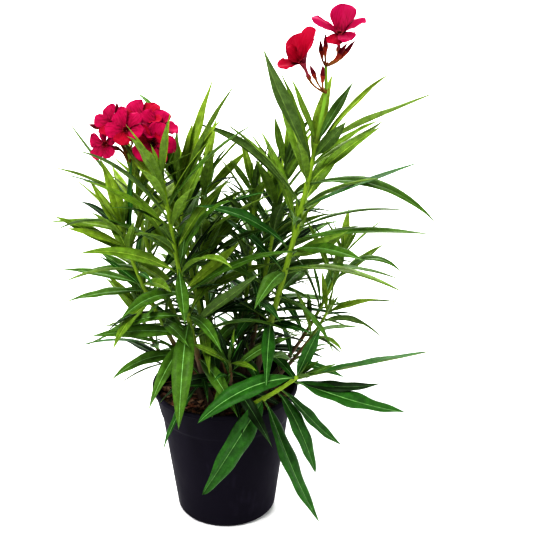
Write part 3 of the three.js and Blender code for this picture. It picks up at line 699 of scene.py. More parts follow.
def stemCurve(shoot):
    points = [(*shoot["foot"], soilLevel + clearance), shoot["knee"], shoot["neck"], shoot["tip"]]
    p0, p1, p2, p3 = np.array(points) * mm

    def at(t):
        return p0 * (1 - t) ** 3 + 3 * p1 * t * (1 - t) ** 2 + 3 * p2 * t * t * (1 - t) + p3 * t**3

    def way(t):
        return unit((p1 - p0) * (1 - t) ** 2 + 2 * (p2 - p1) * t * (1 - t) + (p3 - p2) * t * t)

    return {"at": at, "way": way}


# The leaves of a shoot by the rule of the part's source: the ones that stand out, then the whorls.
def ruledLeaves(shoot, curve):
    rule = leafRule
    leaves = []
    for index, (share, tip, droop, roll, breadth, fresh) in enumerate(shoot.get("leaves", [])):
        level = max(0, (share - shoot["leafFrom"]) / (1 - shoot["leafFrom"]))
        leaves.append(leafTo(
            curve, share, tip, droop, roll=roll, breadth=breadth, level=level,
            seed=shoot["seed"] * 13 + index, fresh=fresh))
    draw = chance(shoot["seed"])
    for whorl in range(shoot["whorls"]):
        level = whorl / (shoot["whorls"] - 1)
        share = mix(shoot["leafFrom"], 1, level ** rule["bunching"])
        for k in range(rule["perWhorl"]):
            around = 360 / rule["perWhorl"] * k
            heading = shoot["turn"] + rule["whorlTurn"] * whorl + around + (draw() - 0.5) * 2 * rule["swing"]
            spread = mix(*shoot["spread"], level**1.2) + (draw() - 0.5) * 2 * rule["waver"]
            if level < rule["fullAt"]:
                growth = mix(rule["oldest"], 1, level / rule["fullAt"])
            else:
                growth = mix(1, rule["youngest"], (level - rule["fullAt"]) / (1 - rule["fullAt"]))
            leaves.append(leafAt(
                curve, share, heading=heading, spread=spread,
                length=shoot["leafLength"] * growth * mix(*rule["lengthSpread"], draw()) * mm,
                droop=mix(*shoot["droop"], level) * mix(*rule["droopSpread"], draw()),
                roll=(draw() - 0.5) * 2 * rule["twist"], level=level,
                seed=shoot["seed"] * 31 + whorl * 3 + k,
                # Lower whorls get a lower value and darker tones: older leaves, and partly painted shade down
                # the shoot.
                fresh=leafLook["freshTip"] * level**1.2 + leafLook["freshYouth"] * shoot["youthAndLight"]))
    return leaves


# The place that a leaf took in the frame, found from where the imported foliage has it. None if left out.
def packedPlace(leaf, tree):
    solidStations = np.array([0.25, 0.6, 1.0])
    near = 0.5 * mm
    for turn, rise, share in leafShifts:
        heading, spread = leaf["heading"] + turn, leaf["spread"] + rise
        tried = dict(leaf, heading=heading, spread=spread, length=leaf["length"] * share)
        points = leafPath(tried, solidStations)[0]
        if sum(tree.find_nearest(Vector(point), near)[0] is not None for point in points) >= 2:
            return tried
    return None


def packedTree(node):
    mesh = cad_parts[node].data
    points = [vertex.co.copy() for vertex in mesh.vertices]
    return BVHTree.FromPolygons(points, [tuple(face.vertices) for face in mesh.polygons])


# Young leaves that stand round a shoot's tip, and small tufts in the angles of some leaves.
tuftLook = {
    "tipRings": ((3, 28, 46), (3, 14, 32), (2, 6, 18)),  # leaves, spread in degrees, length in mm
    "tipRise": 1.5,  # mm from one ring to the next
    "tipTurn": 47,  # degrees from one ring to the next
    "tipSpread": (0.75, 1.25),  # least and most, times the spread
    "tipLength": (0.75, 1.15),
    # How fresh and lit the tip leaves look: a base, and a share of the shoot's youth value.
    "tipFresh": 0.3,
    "tipYouth": 0.6,
    "tuftChance": 0.14,
    "tuftFrom": (0.1, 0.85),  # levels of the leaves that may have one
    "tuftLeaves": 2,
    "tuftLength": (14, 36),
    "tuftSpread": (24, 52),
    "tuftTurn": 70,  # degrees between its leaves
    "swing": 20,
}


def tipLeaves(shoot, curve):
    look = tuftLook
    leaves = []
    draw = chance(shoot["seed"] + 7)
    for ring, (count, spread, length) in enumerate(look["tipRings"]):
        for k in range(count):
            heading = shoot["turn"] + look["tipTurn"] * ring + 360 / count * k
            leaf = leafAt(
                curve, 1.0, heading=heading + look["swing"] * (draw() - 0.5),
                spread=spread * mix(*look["tipSpread"], draw()),
                length=length * mix(*look["tipLength"], draw()) * mm, droop=0.05, roll=20 * (draw() - 0.5),
                level=1.0, seed=shoot["seed"] * 17 + ring * 10 + k,
                fresh=look["tipFresh"] + look["tipYouth"] * shoot["youthAndLight"])
            leaf["at"] = leaf["at"] + leaf["way"] * ring * look["tipRise"] * mm
            leaves.append(leaf)
    return leaves


def tuftLeaves(shoot, grown):
    look = tuftLook
    leaves = []
    draw = chance(shoot["seed"] + 11)
    lowest, highest = look["tuftFrom"]
    for leaf in grown:
        if not lowest < leaf["level"] < highest or draw() > look["tuftChance"]:
            continue
        for k in range(look["tuftLeaves"]):
            leaves.append(dict(
                leaf, length=mix(*look["tuftLength"], draw()) * mm, spread=mix(*look["tuftSpread"], draw()),
                heading=leaf["heading"] + look["tuftTurn"] * (k - 1) + look["swing"] * (draw() - 0.5),
                droop=0.1, roll=0, at=leaf["at"] + leaf["way"] * 2 * mm, seed=leaf["seed"] + 1000 + k,
                fresh=leaf["fresh"] + 0.15))
    return leaves


# Thin leaves between the whorls of a shoot, where the photo shows its foliage dense and dark.
fillLook = {
    "from": 0.5,  # lowest place, as a share of where the whorls begin
    "to": 0.94,
    "turn": 137.5,  # degrees from one to the next
    "spread": (34, 92),
    "length": (0.5, 0.9),  # share of the shoot's leaf length
    "droop": (0.05, 0.7),
    "breadth": 0.52,
    "reach": 28,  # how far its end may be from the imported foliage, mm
    # Low values give these leaves dark tones, which partly paint the shade inside the crown.
    "fresh": (-0.02, 0.38),
}


def fillLeaves(shoot, curve, tree):
    look = fillLook
    leaves = []
    draw = chance(shoot["seed"] + 23)
    for k in range(shoot.get("fill", 0)):
        place = (k + draw()) / shoot["fill"]
        leaf = leafAt(
            curve, mix(look["from"] * shoot["leafFrom"], look["to"], place),
            heading=shoot["turn"] + look["turn"] * k, spread=mix(*look["spread"], draw()),
            length=shoot["leafLength"] * mix(*look["length"], draw()) * mm, droop=mix(*look["droop"], draw()),
            roll=60 * (draw() - 0.5), level=0.5 * place, seed=shoot["seed"] * 41 + k,
            fresh=mix(*look["fresh"], draw()), breadth=look["breadth"])
        end = Vector(leafPath(leaf, np.array([1.0]))[0][0])
        if tree.find_nearest(end, look["reach"] * mm)[0] is not None:
            leaves.append(leaf)
    return leaves


leafColors = {
    "youngAndLit": (0.205, 0.305, 0.027),
    "fresh": (0.137, 0.228, 0.022),
    "full": (0.07, 0.152, 0.016),
    "deep": (0.028, 0.112, 0.012),
    # Painted shade: the tone of leaves deep in the crown.
    "shaded": (0.014, 0.036, 0.008),
    "tired": (0.24, 0.23, 0.03),
    "back": (0.10, 0.165, 0.042),
    "freshBack": (0.18, 0.28, 0.045),
    "freshRib": (0.30, 0.41, 0.07),
    "paleRib": (0.23, 0.42, 0.15),
    "dimRib": (0.10, 0.20, 0.07),
    "ribBack": (0.19, 0.29, 0.07),
}
# The colors of a leaf and of its midrib, by the freshness and light that it has more than. shaded and dimRib
# are painted shade for low and inner leaves, and deep partly so; the palest tones partly paint leaves in full
# light.
leafTones = ((0.74, "youngAndLit"), (0.5, "fresh"), (0.27, "full"), (0.12, "deep"), (-9, "shaded"))
ribTones = ((0.5, "freshRib"), (0.12, "paleRib"), (-9, "dimRib"))
leafNames = list(leafColors)
leafMaterials = [leafFinish("leaf_" + name, color) for name, color in leafColors.items()]


def toneFor(freshness, tones):
    return next(name for least, name in tones if freshness > least)


def leafSlots(leaf, draw):
    freshness = leaf["fresh"] + leafLook["toneSpread"] * (draw() - 0.5)
    tired = draw() < leafLook["tiredShare"] and leaf["level"] < 0.5
    names = {
        "face": "tired" if tired else toneFor(freshness, leafTones),
        "back": "freshBack" if freshness > 0.6 else "back",
        "rib": toneFor(freshness, ribTones),
        "ribBack": "ribBack",
    }
    return {part: leafNames.index(name) for part, name in names.items()}


bloomingShoots = {head["shoot"] for head in flowerHeads}
curves = {shoot["name"]: stemCurve(shoot) for shoot in shoots}
leafCount = 0
for shoot in shoots:
    name = shoot["name"]
    curve = curves[name]
    tree = packedTree("foliage_" + name)
    grown = [place for place in (packedPlace(leaf, tree) for leaf in ruledLeaves(shoot, curve)) if place]
    extra = tuftLeaves(shoot, grown) + fillLeaves(shoot, curve, tree)
    if name not in bloomingShoots:
        extra += tipLeaves(shoot, curve)
    toneDraw = chance(shoot["seed"] + 3)
    parts = [growBlade(leaf, leafSlots(leaf, toneDraw)) for leaf in grown + extra]
    makePiece("leaves_" + name, parts, leafMaterials, ["foliage_" + name], 6)
    leafCount += len(parts)
    print("leaves of shoot", name, len(grown), "and", len(extra), "small ones")
print("leaves:", leafCount)


# Stems: bark low down, green above, with a swelling at each node and old leaf scars on the bare stretch.
stemLook = {
    "ringStep": 2.4,  # mm
    "sides": 18,
    "flareShare": 0.34,
    "flareHeight": 9,
    "flareLobes": 5,
    "nodeSwell": 0.13,
    "nodeReach": 1.9,  # mm
    "scarPitch": 15,
    "barkFrom": 300,  # height where bark begins to show, mm
    "barkSpan": 120,  # from its first grey to full bark, mm
    "barkRelief": 0.07,  # over the radius
    "sunk": 3,  # how far a foot reaches into the loose potting mix, mm
    "belowLeaves": 0.025,  # share of the curve by which the leafy stretch starts below its first leaves
    "tipBud": 6,  # length of a twig's pointed end, mm
}
# The color of a stem from its youngest stretch to full bark.
barkStops = [
    (0.0, (0.25, 0.37, 0.03)), (0.3, (0.17, 0.26, 0.03)), (0.55, (0.14, 0.15, 0.04)),
    (0.75, (0.16, 0.10, 0.045)), (1.0, (0.12, 0.085, 0.06)),
]


def barkFinish():
    finish = Finish("stem_bark", 0.6, 0.35)
    place, _, _, age = finish.notes()
    grain = finish.noise(place, 0.55, 5.0)
    furrow = finish.noise(finish.stretched(place, (1.0, 0.12, 1.0)), 1.3, 4.0)
    finish.paint(finish.calc("ADD", age, finish.calc("MULTIPLY_ADD", grain, 0.3, -0.15)), barkStops)
    finish.bump(finish.calc("MULTIPLY_ADD", grain, 0.5, furrow), 0.5, 0.0006)
    return finish.material


# Where a stem swells: at the scars of its bare stretch and under its leaves.
def nodeShares(shoot, curve):
    whorls = [whorl / (shoot["whorls"] - 1) for whorl in range(shoot["whorls"])]
    shares = [mix(shoot["leafFrom"], 1, level ** leafRule["bunching"]) for level in whorls]
    if not shares:
        shares = sorted({row[0] for row in shoot["leaves"]})
    height = np.linalg.norm(curve["at"](shoot["leafFrom"]) - curve["at"](0)) / mm
    scars = max(1, round(height / stemLook["scarPitch"]))
    return [shoot["leafFrom"] * (i + 0.6) / scars for i in range(scars)] + shares


def growStem(shoot, curve, first, last, point=None):
    look = stemLook
    length = np.linalg.norm(curve["at"](last) - curve["at"](first)) / mm
    shares = np.linspace(first, last, max(6, round(length / look["ringStep"])) + 1)
    centres = np.array([curve["at"](share) for share in shares])
    ways = np.array([curve["way"](share) for share in shares])
    if first == 0:
        centres[0] -= (0, 0, look["sunk"] * mm)
        ways[0] = (0, 0, 1)
    radii = mix(*shoot["radius"], shares) * mm
    heights = centres[:, 2] / mm
    flare = look["flareShare"] * np.exp(-np.maximum(0, heights - soilLevel) / look["flareHeight"])
    barkFrom = shoot.get("barkFrom", look["barkFrom"])
    age = 1 - smooth(barkFrom - look["barkSpan"], barkFrom, heights + 26 * (shares - 0.3))
    nodes = [curve["at"](share) for share in nodeShares(shoot, curve)]
    seed = shoot["seed"]

    def relief(i, angles):
        swell = np.zeros(len(angles))
        for turn, centre in enumerate(nodes):
            gap = np.linalg.norm(centres[i] - centre) / mm
            if gap < 3 * look["nodeReach"]:
                lobes = 1 + 0.5 * np.cos(3 * (angles - math.radians(shoot["turn"] + 60 * turn)))
                swell += look["nodeSwell"] * lobes * math.exp(-((gap / look["nodeReach"]) ** 2))
        lumps = flare[i] * (1 + 0.35 * np.cos(look["flareLobes"] * angles + seed))
        spots = [Vector((math.cos(a) * 2.2, math.sin(a) * 2.2, heights[i] * 0.09 + seed)) for a in angles]
        rough = np.array([noise.fractal(spot, 0.8, 2.1, 3) for spot in spots])
        return swell + lumps + look["barkRelief"] * (0.25 + 0.75 * age[i]) * rough

    rings = tubeRings(centres, ways, radii, look["sides"], relief)
    across = np.outer(radii / mm, np.cos(anglesAround(look["sides"]))) * 1.5
    return skinPart(rings, 0, None, point, (across, heights[:, None], age[:, None]))


stemMaterials = [barkFinish()]
for shoot in shoots:
    name = shoot["name"]
    curve = curves[name]
    change = shoot["leafFrom"] - stemLook["belowLeaves"]
    bark = growStem(shoot, curve, 0, change)
    makePiece("bark_" + name, [bark], stemMaterials, ["stem_" + name])
    tip = None if name in bloomingShoots else curve["at"](1) + curve["way"](1) * stemLook["tipBud"] * mm
    twig = growStem(shoot, curve, change, 1, tip)
    makePiece("twig_" + name, [twig], stemMaterials, ["foliage_" + name])
print("stems:", len(shoots))


# Flowers: five broad petals on a funnel, a fringed throat, a small calyx and a stalk. In mm.
flowerLook = {
    "petals": 5,
    "petalLength": 25,
    "petalHalfWidth": 12.4,
    "petalBow": 0.07,  # how far its middle stands up from the straight, over its length
    "petalInset": 0.8,  # where a petal starts, over the throat's radius
    "petalTilt": 11,  # degrees by which one edge lies over the next petal
    "petalThickness": 0.45,
    "petalStations": 20,
    "petalColumns": 6,  # on each side of its middle line
    "petalRounding": 0.62,  # where its rounded end begins, over its length
    "petalRuffle": 0.11,  # over the half width
    "petalCrimp": 0.9,  # height of the crimps in its edge
    "oblique": 0.16,  # how far its tip lies to one side, over the half width
    "otherFace": 0.25,  # share of petals in the second color
    "throatRadius": 4.2,
    "funnelSides": 20,
    # height from the mouth and radius, up the outside and then down the inside
    "outside": [(-24, 1.0), (-22.5, 1.9), (-20, 2.1), (-18, 1.75), (-14, 1.6), (-10, 1.75), (-7, 2.3),
                (-4, 3.1), (-1.5, 3.75), (0, 4.25)],
    "inside": [(-0.2, 4.0), (-1.8, 3.45), (-4.2, 2.8), (-7.2, 2.0), (-10, 1.4), (-12, 0.9)],
    "sepal": (6.2, 0.95),  # length and half width
    "budSepal": (4.6, 0.8),
    "bract": (6, 0.8),
    "style": (7.5, 1.1),
    "fringes": 15,
    "fringe": (3.2, 0.42),
    "stalkRadius": 1.25,
    "budStalkRadius": 1.1,
    "forkRadius": 1.15,
    "stalkBend": 0.45,
    "budRadius": 2.6,
    # share of a bud's length and of its radius
    "budShape": [(0, 0.45), (0.08, 0.6), (0.3, 0.98), (0.45, 1.0), (0.7, 0.72), (0.9, 0.34), (0.985, 0.14)],
    "budFootShare": 0.42,
    "peduncleTop": 1.6,
}

flowerColors = {
    "crimson": (0.33, 0.0012, 0.03),
    "rose": (0.36, 0.0015, 0.066),
    "magenta": (0.31, 0.0012, 0.056),
    # The petals' backs: their own color, darkened as painted shade.
    "shadedPetalBack": (0.21, 0.002, 0.038),
    "tube": (0.50, 0.08, 0.14),
    "throat": (0.5, 0.02, 0.05),
    "calyx": (0.34, 0.095, 0.03),
    "stalk": (0.24, 0.095, 0.025),
    "bud": (0.125, 0.003, 0.014),
    "budFoot": (0.30, 0.035, 0.018),
    "peduncle": (0.2, 0.27, 0.04),
    "fringe": (0.62, 0.10, 0.14),
}
flowerNames = list(flowerColors)


# Petal color: veined, darker toward the throat, partly as painted shade in the flower's hollow middle, and
# pinker toward the edge.
def petalFinish(name, color):
    finish = Finish("bloom_" + name, 0.62, 0.12)
    place, _, along, _ = finish.notes()
    veins = finish.noise(finish.stretched(place, (1.0, 0.16, 1.0)), 1.1, 4.0)
    # The tone falls toward the throat: painted shade in part.
    tone = finish.calc("ADD", veins, finish.calc("MULTIPLY_ADD", along, 0.018, -0.22))
    dark = tinted(color, (0.5, 0.5, 0.4))
    pale = tinted(color, (1.18, 1.5, 1.45), (0, 0.002, 0))
    finish.paint(tone, [(0.2, dark), (0.5, color), (0.85, pale)])
    finish.bump(veins, 0.25, 0.0004)
    return finish.material


flowerMaterials = [petalFinish(name, color) for name, color in flowerColors.items()]


def slotOf(name):
    return flowerNames.index(name)


# The petals of a flower by the rule: spread evenly round the throat, all alike. Tips are in mm.
def evenPetals(bloom, front):
    look = flowerLook
    length = look["petalLength"] * bloom["size"]
    rise = math.radians(bloom["rise"])
    reach = look["throatRadius"] * look["petalInset"] + length * math.cos(rise)
    middle = bloom["throat"] + front * length * math.sin(rise)
    ways = waysAround(front, look["petals"], bloom["spin"] / 360 * look["petals"])
    return [(middle + way * reach, look["petalTilt"], bloom["size"]) for way in ways]


def growPetal(throat, front, row, seed, face):
    look = flowerLook
    draw = chance(seed)
    place, roll, breadth = row
    t = np.linspace(0, 1, look["petalStations"] + 1)[:-1]
    shares = 1 - (1 - t) ** 1.45
    tip = np.array(place) * mm
    lean = tip - throat
    outward = unit(lean - front * np.dot(lean, front))
    root = throat + outward * look["throatRadius"] * look["petalInset"] * mm - front * 0.9 * mm
    way = unit(tip - root)
    length = np.linalg.norm(tip - root)
    reach = length * shares
    level = unit(np.cross(way, front))
    upward = np.cross(level, way)
    side, normal = turned(level, upward, math.radians(roll + 8 * (draw() - 0.5)))
    bowed = 4 * look["petalBow"] * (0.6 + 0.8 * draw()) * length * shares * (1 - shares)
    points = root + way * reach[:, None] + upward * bowed[:, None]
    widest = look["petalHalfWidth"] * breadth * mm
    half = widest * (0.4 + 0.6 * smooth(0, 0.6, shares))
    past = np.maximum(0, shares - look["petalRounding"]) / (1 - look["petalRounding"])
    half = half * np.sqrt(np.maximum(0.0004, 1 - past**2.6))
    bow = look["oblique"] * widest * shares**2
    ruffle, wave = draw() * 2 * math.pi, draw() * 2 * math.pi
    cup = mix(0.55, 0.08, smooth(0, 0.55, shares)) - 0.22 * smooth(0.7, 1, shares) * draw()
    thick = look["petalThickness"] * mm

    # How far aside and how high the petal's skin lies at a share of its half width.
    def line(across):
        x = across * half * (1 + 0.14 * across * shares) + bow
        ruffled = look["petalRuffle"] * half * np.sin(4.1 * across + ruffle) * smooth(0.15, 0.7, shares)
        crimp = np.sin(15 * shares + wave + 2.2 * np.sign(across)) + 0.6 * np.sin(27 * shares - wave)
        crimped = look["petalCrimp"] * mm * abs(across) ** 3 * crimp * smooth(0.3, 0.8, shares)
        crease = 0.35 * mm * math.exp(-((across / 0.12) ** 2)) * (1 - shares)
        return x, cup * half * across**2 + ruffled + crimped - crease

    count = look["petalColumns"]
    steps = [math.sin(math.pi / 2 * i / count) for i in range(-count, count + 1)]
    upper = [(*line(across), across) for across in steps]
    lower = [(x, y - thick * (1 - across**8), across) for x, y, across in upper[-2:0:-1]]
    rows = upper + lower
    rings = np.stack([points + side * x[:, None] + normal * y[:, None] for x, y, _ in rows], 1)
    notes = (np.stack([across * half / mm for _, _, across in rows], 1), reach[:, None] / mm, 20 * draw())
    end = points[-1] + side * bow[-1] + (points[-1] - points[-2]) * 0.6
    slots = [slotOf(face)] * 2 * count + [slotOf("shadedPetalBack")] * 2 * count
    return skinPart(rings, slots, [2 * count] * 2, end, notes)


# A small pointed sepal, bract or fringe tooth.
def growSpike(root, way, length, width, name):
    shares = np.linspace(0, 1, 6)[:-1]
    centres = [root + way * length * s for s in shares]
    radii = [width * max(0.12, math.sin(math.pi * (0.28 + 0.72 * s)) ** 0.8) for s in shares]
    return roundPart(centres, radii, 6, slotOf(name), root + way * length)


def growStalk(fork, foot, way, radius):
    look = flowerLook
    bend = foot - way * look["stalkBend"] * np.linalg.norm(foot - fork)
    end = foot + way * 0.6 * mm
    shares = np.linspace(0, 1, 12)
    centres = [fork * (1 - s) ** 2 + 2 * bend * s * (1 - s) + end * s * s for s in shares]
    radii = [mix(look["forkRadius"], radius * 0.95, s) * mm * (1 + 0.12 * math.sin(9 * s)) for s in shares]
    return roundPart(centres, radii, 10, slotOf("stalk"))


# Sepals round the foot of a flower or bud. inset and size are in mm.
def growSepals(foot, way, turn, inset, lean, size):
    length, width = (value * mm for value in size)
    return [
        growSpike(foot + outward * inset * mm, unit(way + outward * lean), length, width, "calyx")
        for outward in waysAround(way, flowerLook["petals"], turn)
    ]


def growFlower(bloom, fork, seed):
    look = flowerLook
    draw = chance(seed)
    throat = np.array(bloom["throat"]) * mm
    front = unit(np.array(bloom["facing"], float))
    face = bloom["face"]
    other = "rose" if face == "crimson" else "crimson"
    foot = throat + front * look["outside"][0][0] * mm
    parts = [growStalk(fork, foot, front, look["stalkRadius"])]
    for i, row in enumerate(bloom.get("petals") or evenPetals(bloom, front)):
        shade = face if draw() < 1 - look["otherFace"] else other
        parts.append(growPetal(throat, front, row, seed * 7 + i, shade))

    funnel = look["outside"] + look["inside"]
    centres = [throat + front * height * mm for height, _ in funnel]
    radii = [radius * mm for _, radius in funnel]

    def fluted(i, angles):
        return 0.04 * np.cos(look["petals"] * angles)

    rings = tubeRings(centres, [front] * len(funnel), radii, look["funnelSides"], fluted)
    names = ["calyx"] * 2 + ["tube"] * (len(look["outside"]) - 3) + ["throat"] * len(look["inside"])
    parts.append(skinPart(rings, [[slotOf(name)] for name in names]))

    parts += growSepals(foot + front * 0.8 * mm, front, 0.3, 1.3, 0.16, look["sepal"])
    length, width = look["fringe"]
    for outward in waysAround(front, look["fringes"]):
        root = throat + outward * 3.4 * mm - front * 1.5 * mm
        toothLength = length * (0.7 + 0.5 * draw()) * mm
        way = unit(front + outward * (0.25 * draw() - 0.1))
        parts.append(growSpike(root, way, toothLength, width * mm, "fringe"))
    length, width = look["style"]
    parts.append(growSpike(throat - front * 8 * mm, front, length * mm, width * mm, "fringe"))
    return parts


# A furled bud, twisted round its own axis.
def growBud(bud, fork, seed):
    look = flowerLook
    tip, foot = (np.array(place) * mm for place in bud)
    way = unit(tip - foot)
    shares = np.linspace(0, look["budShape"][-1][0], 20)
    profile = np.interp(shares, *zip(*look["budShape"]))

    def furl(i, angles):
        turn = 3.0 * shares[i] + seed
        return 0.10 * np.cos(3 * (angles + turn)) + 0.05 * np.cos(angles + turn)

    slots = [[slotOf("budFoot" if s < look["budFootShare"] else "bud")] for s in shares[1:]]
    centres = [foot + (tip - foot) * s for s in shares]
    parts = [roundPart(centres, profile * look["budRadius"] * mm, 16, slots, tip, furl)]
    parts.append(growStalk(fork, foot, way, look["budStalkRadius"]))
    return parts + growSepals(foot - way * 0.5 * mm, way, 0.1, 0.7, 0.2, look["budSepal"])


# The peduncle runs on from the shoot's tip through the forks, smoothed from straight stretches.
def growPeduncle(shoot, curve, forks):
    start = curve["at"](1)
    knots = np.array([start - curve["way"](1) * 4 * mm, start, *forks])
    shares = np.linspace(0, 1, 34)
    places = np.linspace(0, 1, len(knots))
    line = np.stack([np.interp(shares, places, axis) for axis in knots.T], -1)
    for _ in range(6):
        line[1:-1] = (line[:-2] + 2 * line[1:-1] + line[2:]) / 4
    radii = mix(shoot["radius"][1], flowerLook["peduncleTop"], shares) * mm
    return roundPart(line, radii, 14, slotOf("peduncle"))


for head in flowerHeads:
    shoot = next(shoot for shoot in shoots if shoot["name"] == head["shoot"])
    forks = [np.array(fork) * mm for fork in head["forks"]]
    parts = [growPeduncle(shoot, curves[shoot["name"]], forks)]
    for index, bloom in enumerate(head["flowers"]):
        parts += growFlower(bloom, forks[bloom["fork"]], shoot["seed"] + index)
    for index, (tip, base, fork) in enumerate(head["buds"]):
        parts += growBud((tip, base), forks[fork], shoot["seed"] + 40 + index)
    length, width = flowerLook["bract"]
    for fork in forks:
        for angle in anglesAround(3) + 0.5:
            way = unit(np.array([math.cos(angle), math.sin(angle), 1.6]))
            parts.append(growSpike(fork, way, length * mm, width * mm, "calyx"))
    makePiece("blossom_" + head["name"], parts, flowerMaterials, ["flowers_" + head["name"]], 1.4)
    print("blossom", head["name"], len(head["flowers"]), "flowers and", len(head["buds"]), "buds")


# The pot: a thin tapered shell with a flared collar, a rolled lip, a rounded foot and drain holes. In mm.
potLook = {
    "height": 165,
    "rimRadius": 86,
    "lipHeight": 6,
    "collarTopRadius": 83.5,
    "collarFootRadius": 77,
    "collarFootHeight": 130,
    "neckRadius": 75.2,
    "neckHeight": 127,
    "footRadius": 58.5,
    "footRounding": 7,
    "underside": 1.2,  # how far its middle is raised
    "wall": 1.8,
    "floor": 2.4,
    "segments": 160,
    "drainCount": 6,
    "drainRadius": 4.5,
    "drainRing": 41,
    "plastic": (0.0158, 0.0136, 0.0222),
    "dusty": (1.7, 0.002),  # its paler patches: times the color, and added to it
    "roughness": (0.46, 0.64),
}


# A line of (radius, height, rounding) corners as points, each corner drawn as a small arc.
def roundedLine(corners):
    line = []
    for i, (x, z, rounding) in enumerate(corners):
        here = np.array([x, z])
        if rounding == 0:
            line.append(here)
            continue
        before = np.array(corners[i - 1][:2]) - here
        after = np.array(corners[i + 1][:2]) - here
        a = here + unit(before) * min(rounding, 0.48 * np.linalg.norm(before))
        b = here + unit(after) * min(rounding, 0.48 * np.linalg.norm(after))
        line += [a * (1 - t) ** 2 + 2 * here * t * (1 - t) + b * t * t for t in (0, 0.2, 0.4, 0.6, 0.8, 1)]
    return line


# Turns a line of radii and heights round the pot's axis into a closed part. It starts and ends on the axis.
def turnedPart(line, segments, lift=None):
    radii, heights = np.array([(max(radius, 0.02), height) for radius, height in line]).T
    angles = anglesAround(segments)
    lifts = np.zeros((len(line), segments))
    if lift:
        lifts = np.array([lift(radius, height, angles) for radius, height in zip(radii, heights)])
    xs, ys = np.outer(radii, np.cos(angles)), np.outer(radii, np.sin(angles))
    rings = np.stack([xs, ys, heights[:, None] + lifts], -1) * mm
    lengths = np.cumsum([0, *np.hypot(np.diff(radii), np.diff(heights))])
    return skinPart(rings, 0, None, None, (angles * 60, lengths[:, None], heights[:, None]))


def potPlastic():
    finish = Finish("pot_plastic", 0.5, 0.03)
    position = finish.position()
    grain = finish.noise(position, 900.0, 2.0)
    cloud = finish.noise(position, 22.0, 4.0)
    streak = finish.noise(finish.stretched(position, (1.0, 1.0, 0.12)), 160.0, 4.0)
    tone = finish.calc("MULTIPLY_ADD", streak, 0.35, finish.calc("MULTIPLY", cloud, 0.65))
    base = potLook["plastic"]
    finish.paint(tone, [(0.42, base), (0.56, base), (0.75, tinted(base, *potLook["dusty"]))])
    rough = finish.add("MapRange")
    least, most = potLook["roughness"]
    for name, value in (("From Min", 0.35), ("From Max", 0.7), ("To Min", least), ("To Max", most)):
        rough.inputs[name].default_value = value
    finish.links.new(tone, rough.inputs["Value"])
    finish.links.new(rough.outputs["Result"], finish.shader.inputs["Roughness"])
    finish.bump(grain, 0.12, 0.0002)
    return finish.material


# The pot's section from the middle of its underside, up the outside, over the lip and down the inside.
def potSection():
    p = potLook
    top, wall = p["height"], p["wall"]
    lip = top - p["lipHeight"]
    return [
        (0, p["underside"], 0), (p["footRadius"] - 16, p["underside"], 1), (p["footRadius"] - 13, 0, 1),
        (p["footRadius"], 0, p["footRounding"]),
        (p["neckRadius"], p["neckHeight"], 3), (p["collarFootRadius"], p["collarFootHeight"], 3),
        (p["collarTopRadius"], lip, 0.8), (p["rimRadius"] - 0.6, lip, 0.6), (p["rimRadius"], lip + 0.8, 0.6),
        (p["rimRadius"], top, 1.1), (p["collarTopRadius"] + 1 - wall, top, 1.1),
        (p["collarFootRadius"] - wall, p["collarFootHeight"], 2),
        (p["neckRadius"] - wall, p["neckHeight"], 2),
        (p["footRadius"] - wall, p["floor"], 6), (0, p["floor"], 0),
    ]


def makePot():
    p = potLook
    shell = turnedPart(roundedLine(potSection()), p["segments"])
    pot = makePiece("pot_shell", [shell], [potPlastic()], ["pot"], 2)
    drains = []
    for angle in anglesAround(p["drainCount"]) + math.pi / p["drainCount"]:
        x, y = p["drainRing"] * math.cos(angle), p["drainRing"] * math.sin(angle)
        line = [np.array([x, y, z]) * mm for z in (-4, 8)]
        drains.append(roundPart(line, [p["drainRadius"] * mm] * 2, 24, 0))
    cutter = makeMesh("drain_cutter", drains, [])
    cut = pot.modifiers.new("drains", "BOOLEAN")
    cut.object = cutter
    cut.operation = "DIFFERENCE"
    cut.solver = "EXACT"
    with bpy.context.temp_override(object=pot, active_object=pot):
        bpy.ops.object.modifier_apply(modifier=cut.name)
    bpy.data.objects.remove(cutter)


makePot()
print("pot")


# Potting mix: an uneven surface under loose bark chips and a few dry leaves. In mm.
mixLook = {
    "edgeDrop": 2.5,
    "lumps": 2.2,
    "rings": 40,
    "segments": 120,
    "chips": 420,
    "chipLength": (4, 13),
    "chipWidth": (0.3, 0.6),  # share of its length
    "chipThickness": (0.9, 2.6),
    "chipPitch": 0.5,  # radians
    "chipRoll": 0.9,
    "chipJitter": 0.35,
    "chipSpread": 75,  # how far from the middle they lie
    "chipOutline": [(-1, -0.55), (0, -1), (1, -0.6), (1, 0.6), (0.1, 1), (-1, 0.5)],
    "dryLeaves": 9,
    "dryLength": (34, 72),
    "drySpread": 66,
    "dryRise": 3.5,
    "dryLean": 78,  # degrees from upright
    "dryDroop": 0.35,
    "dryRoll": 50,
}
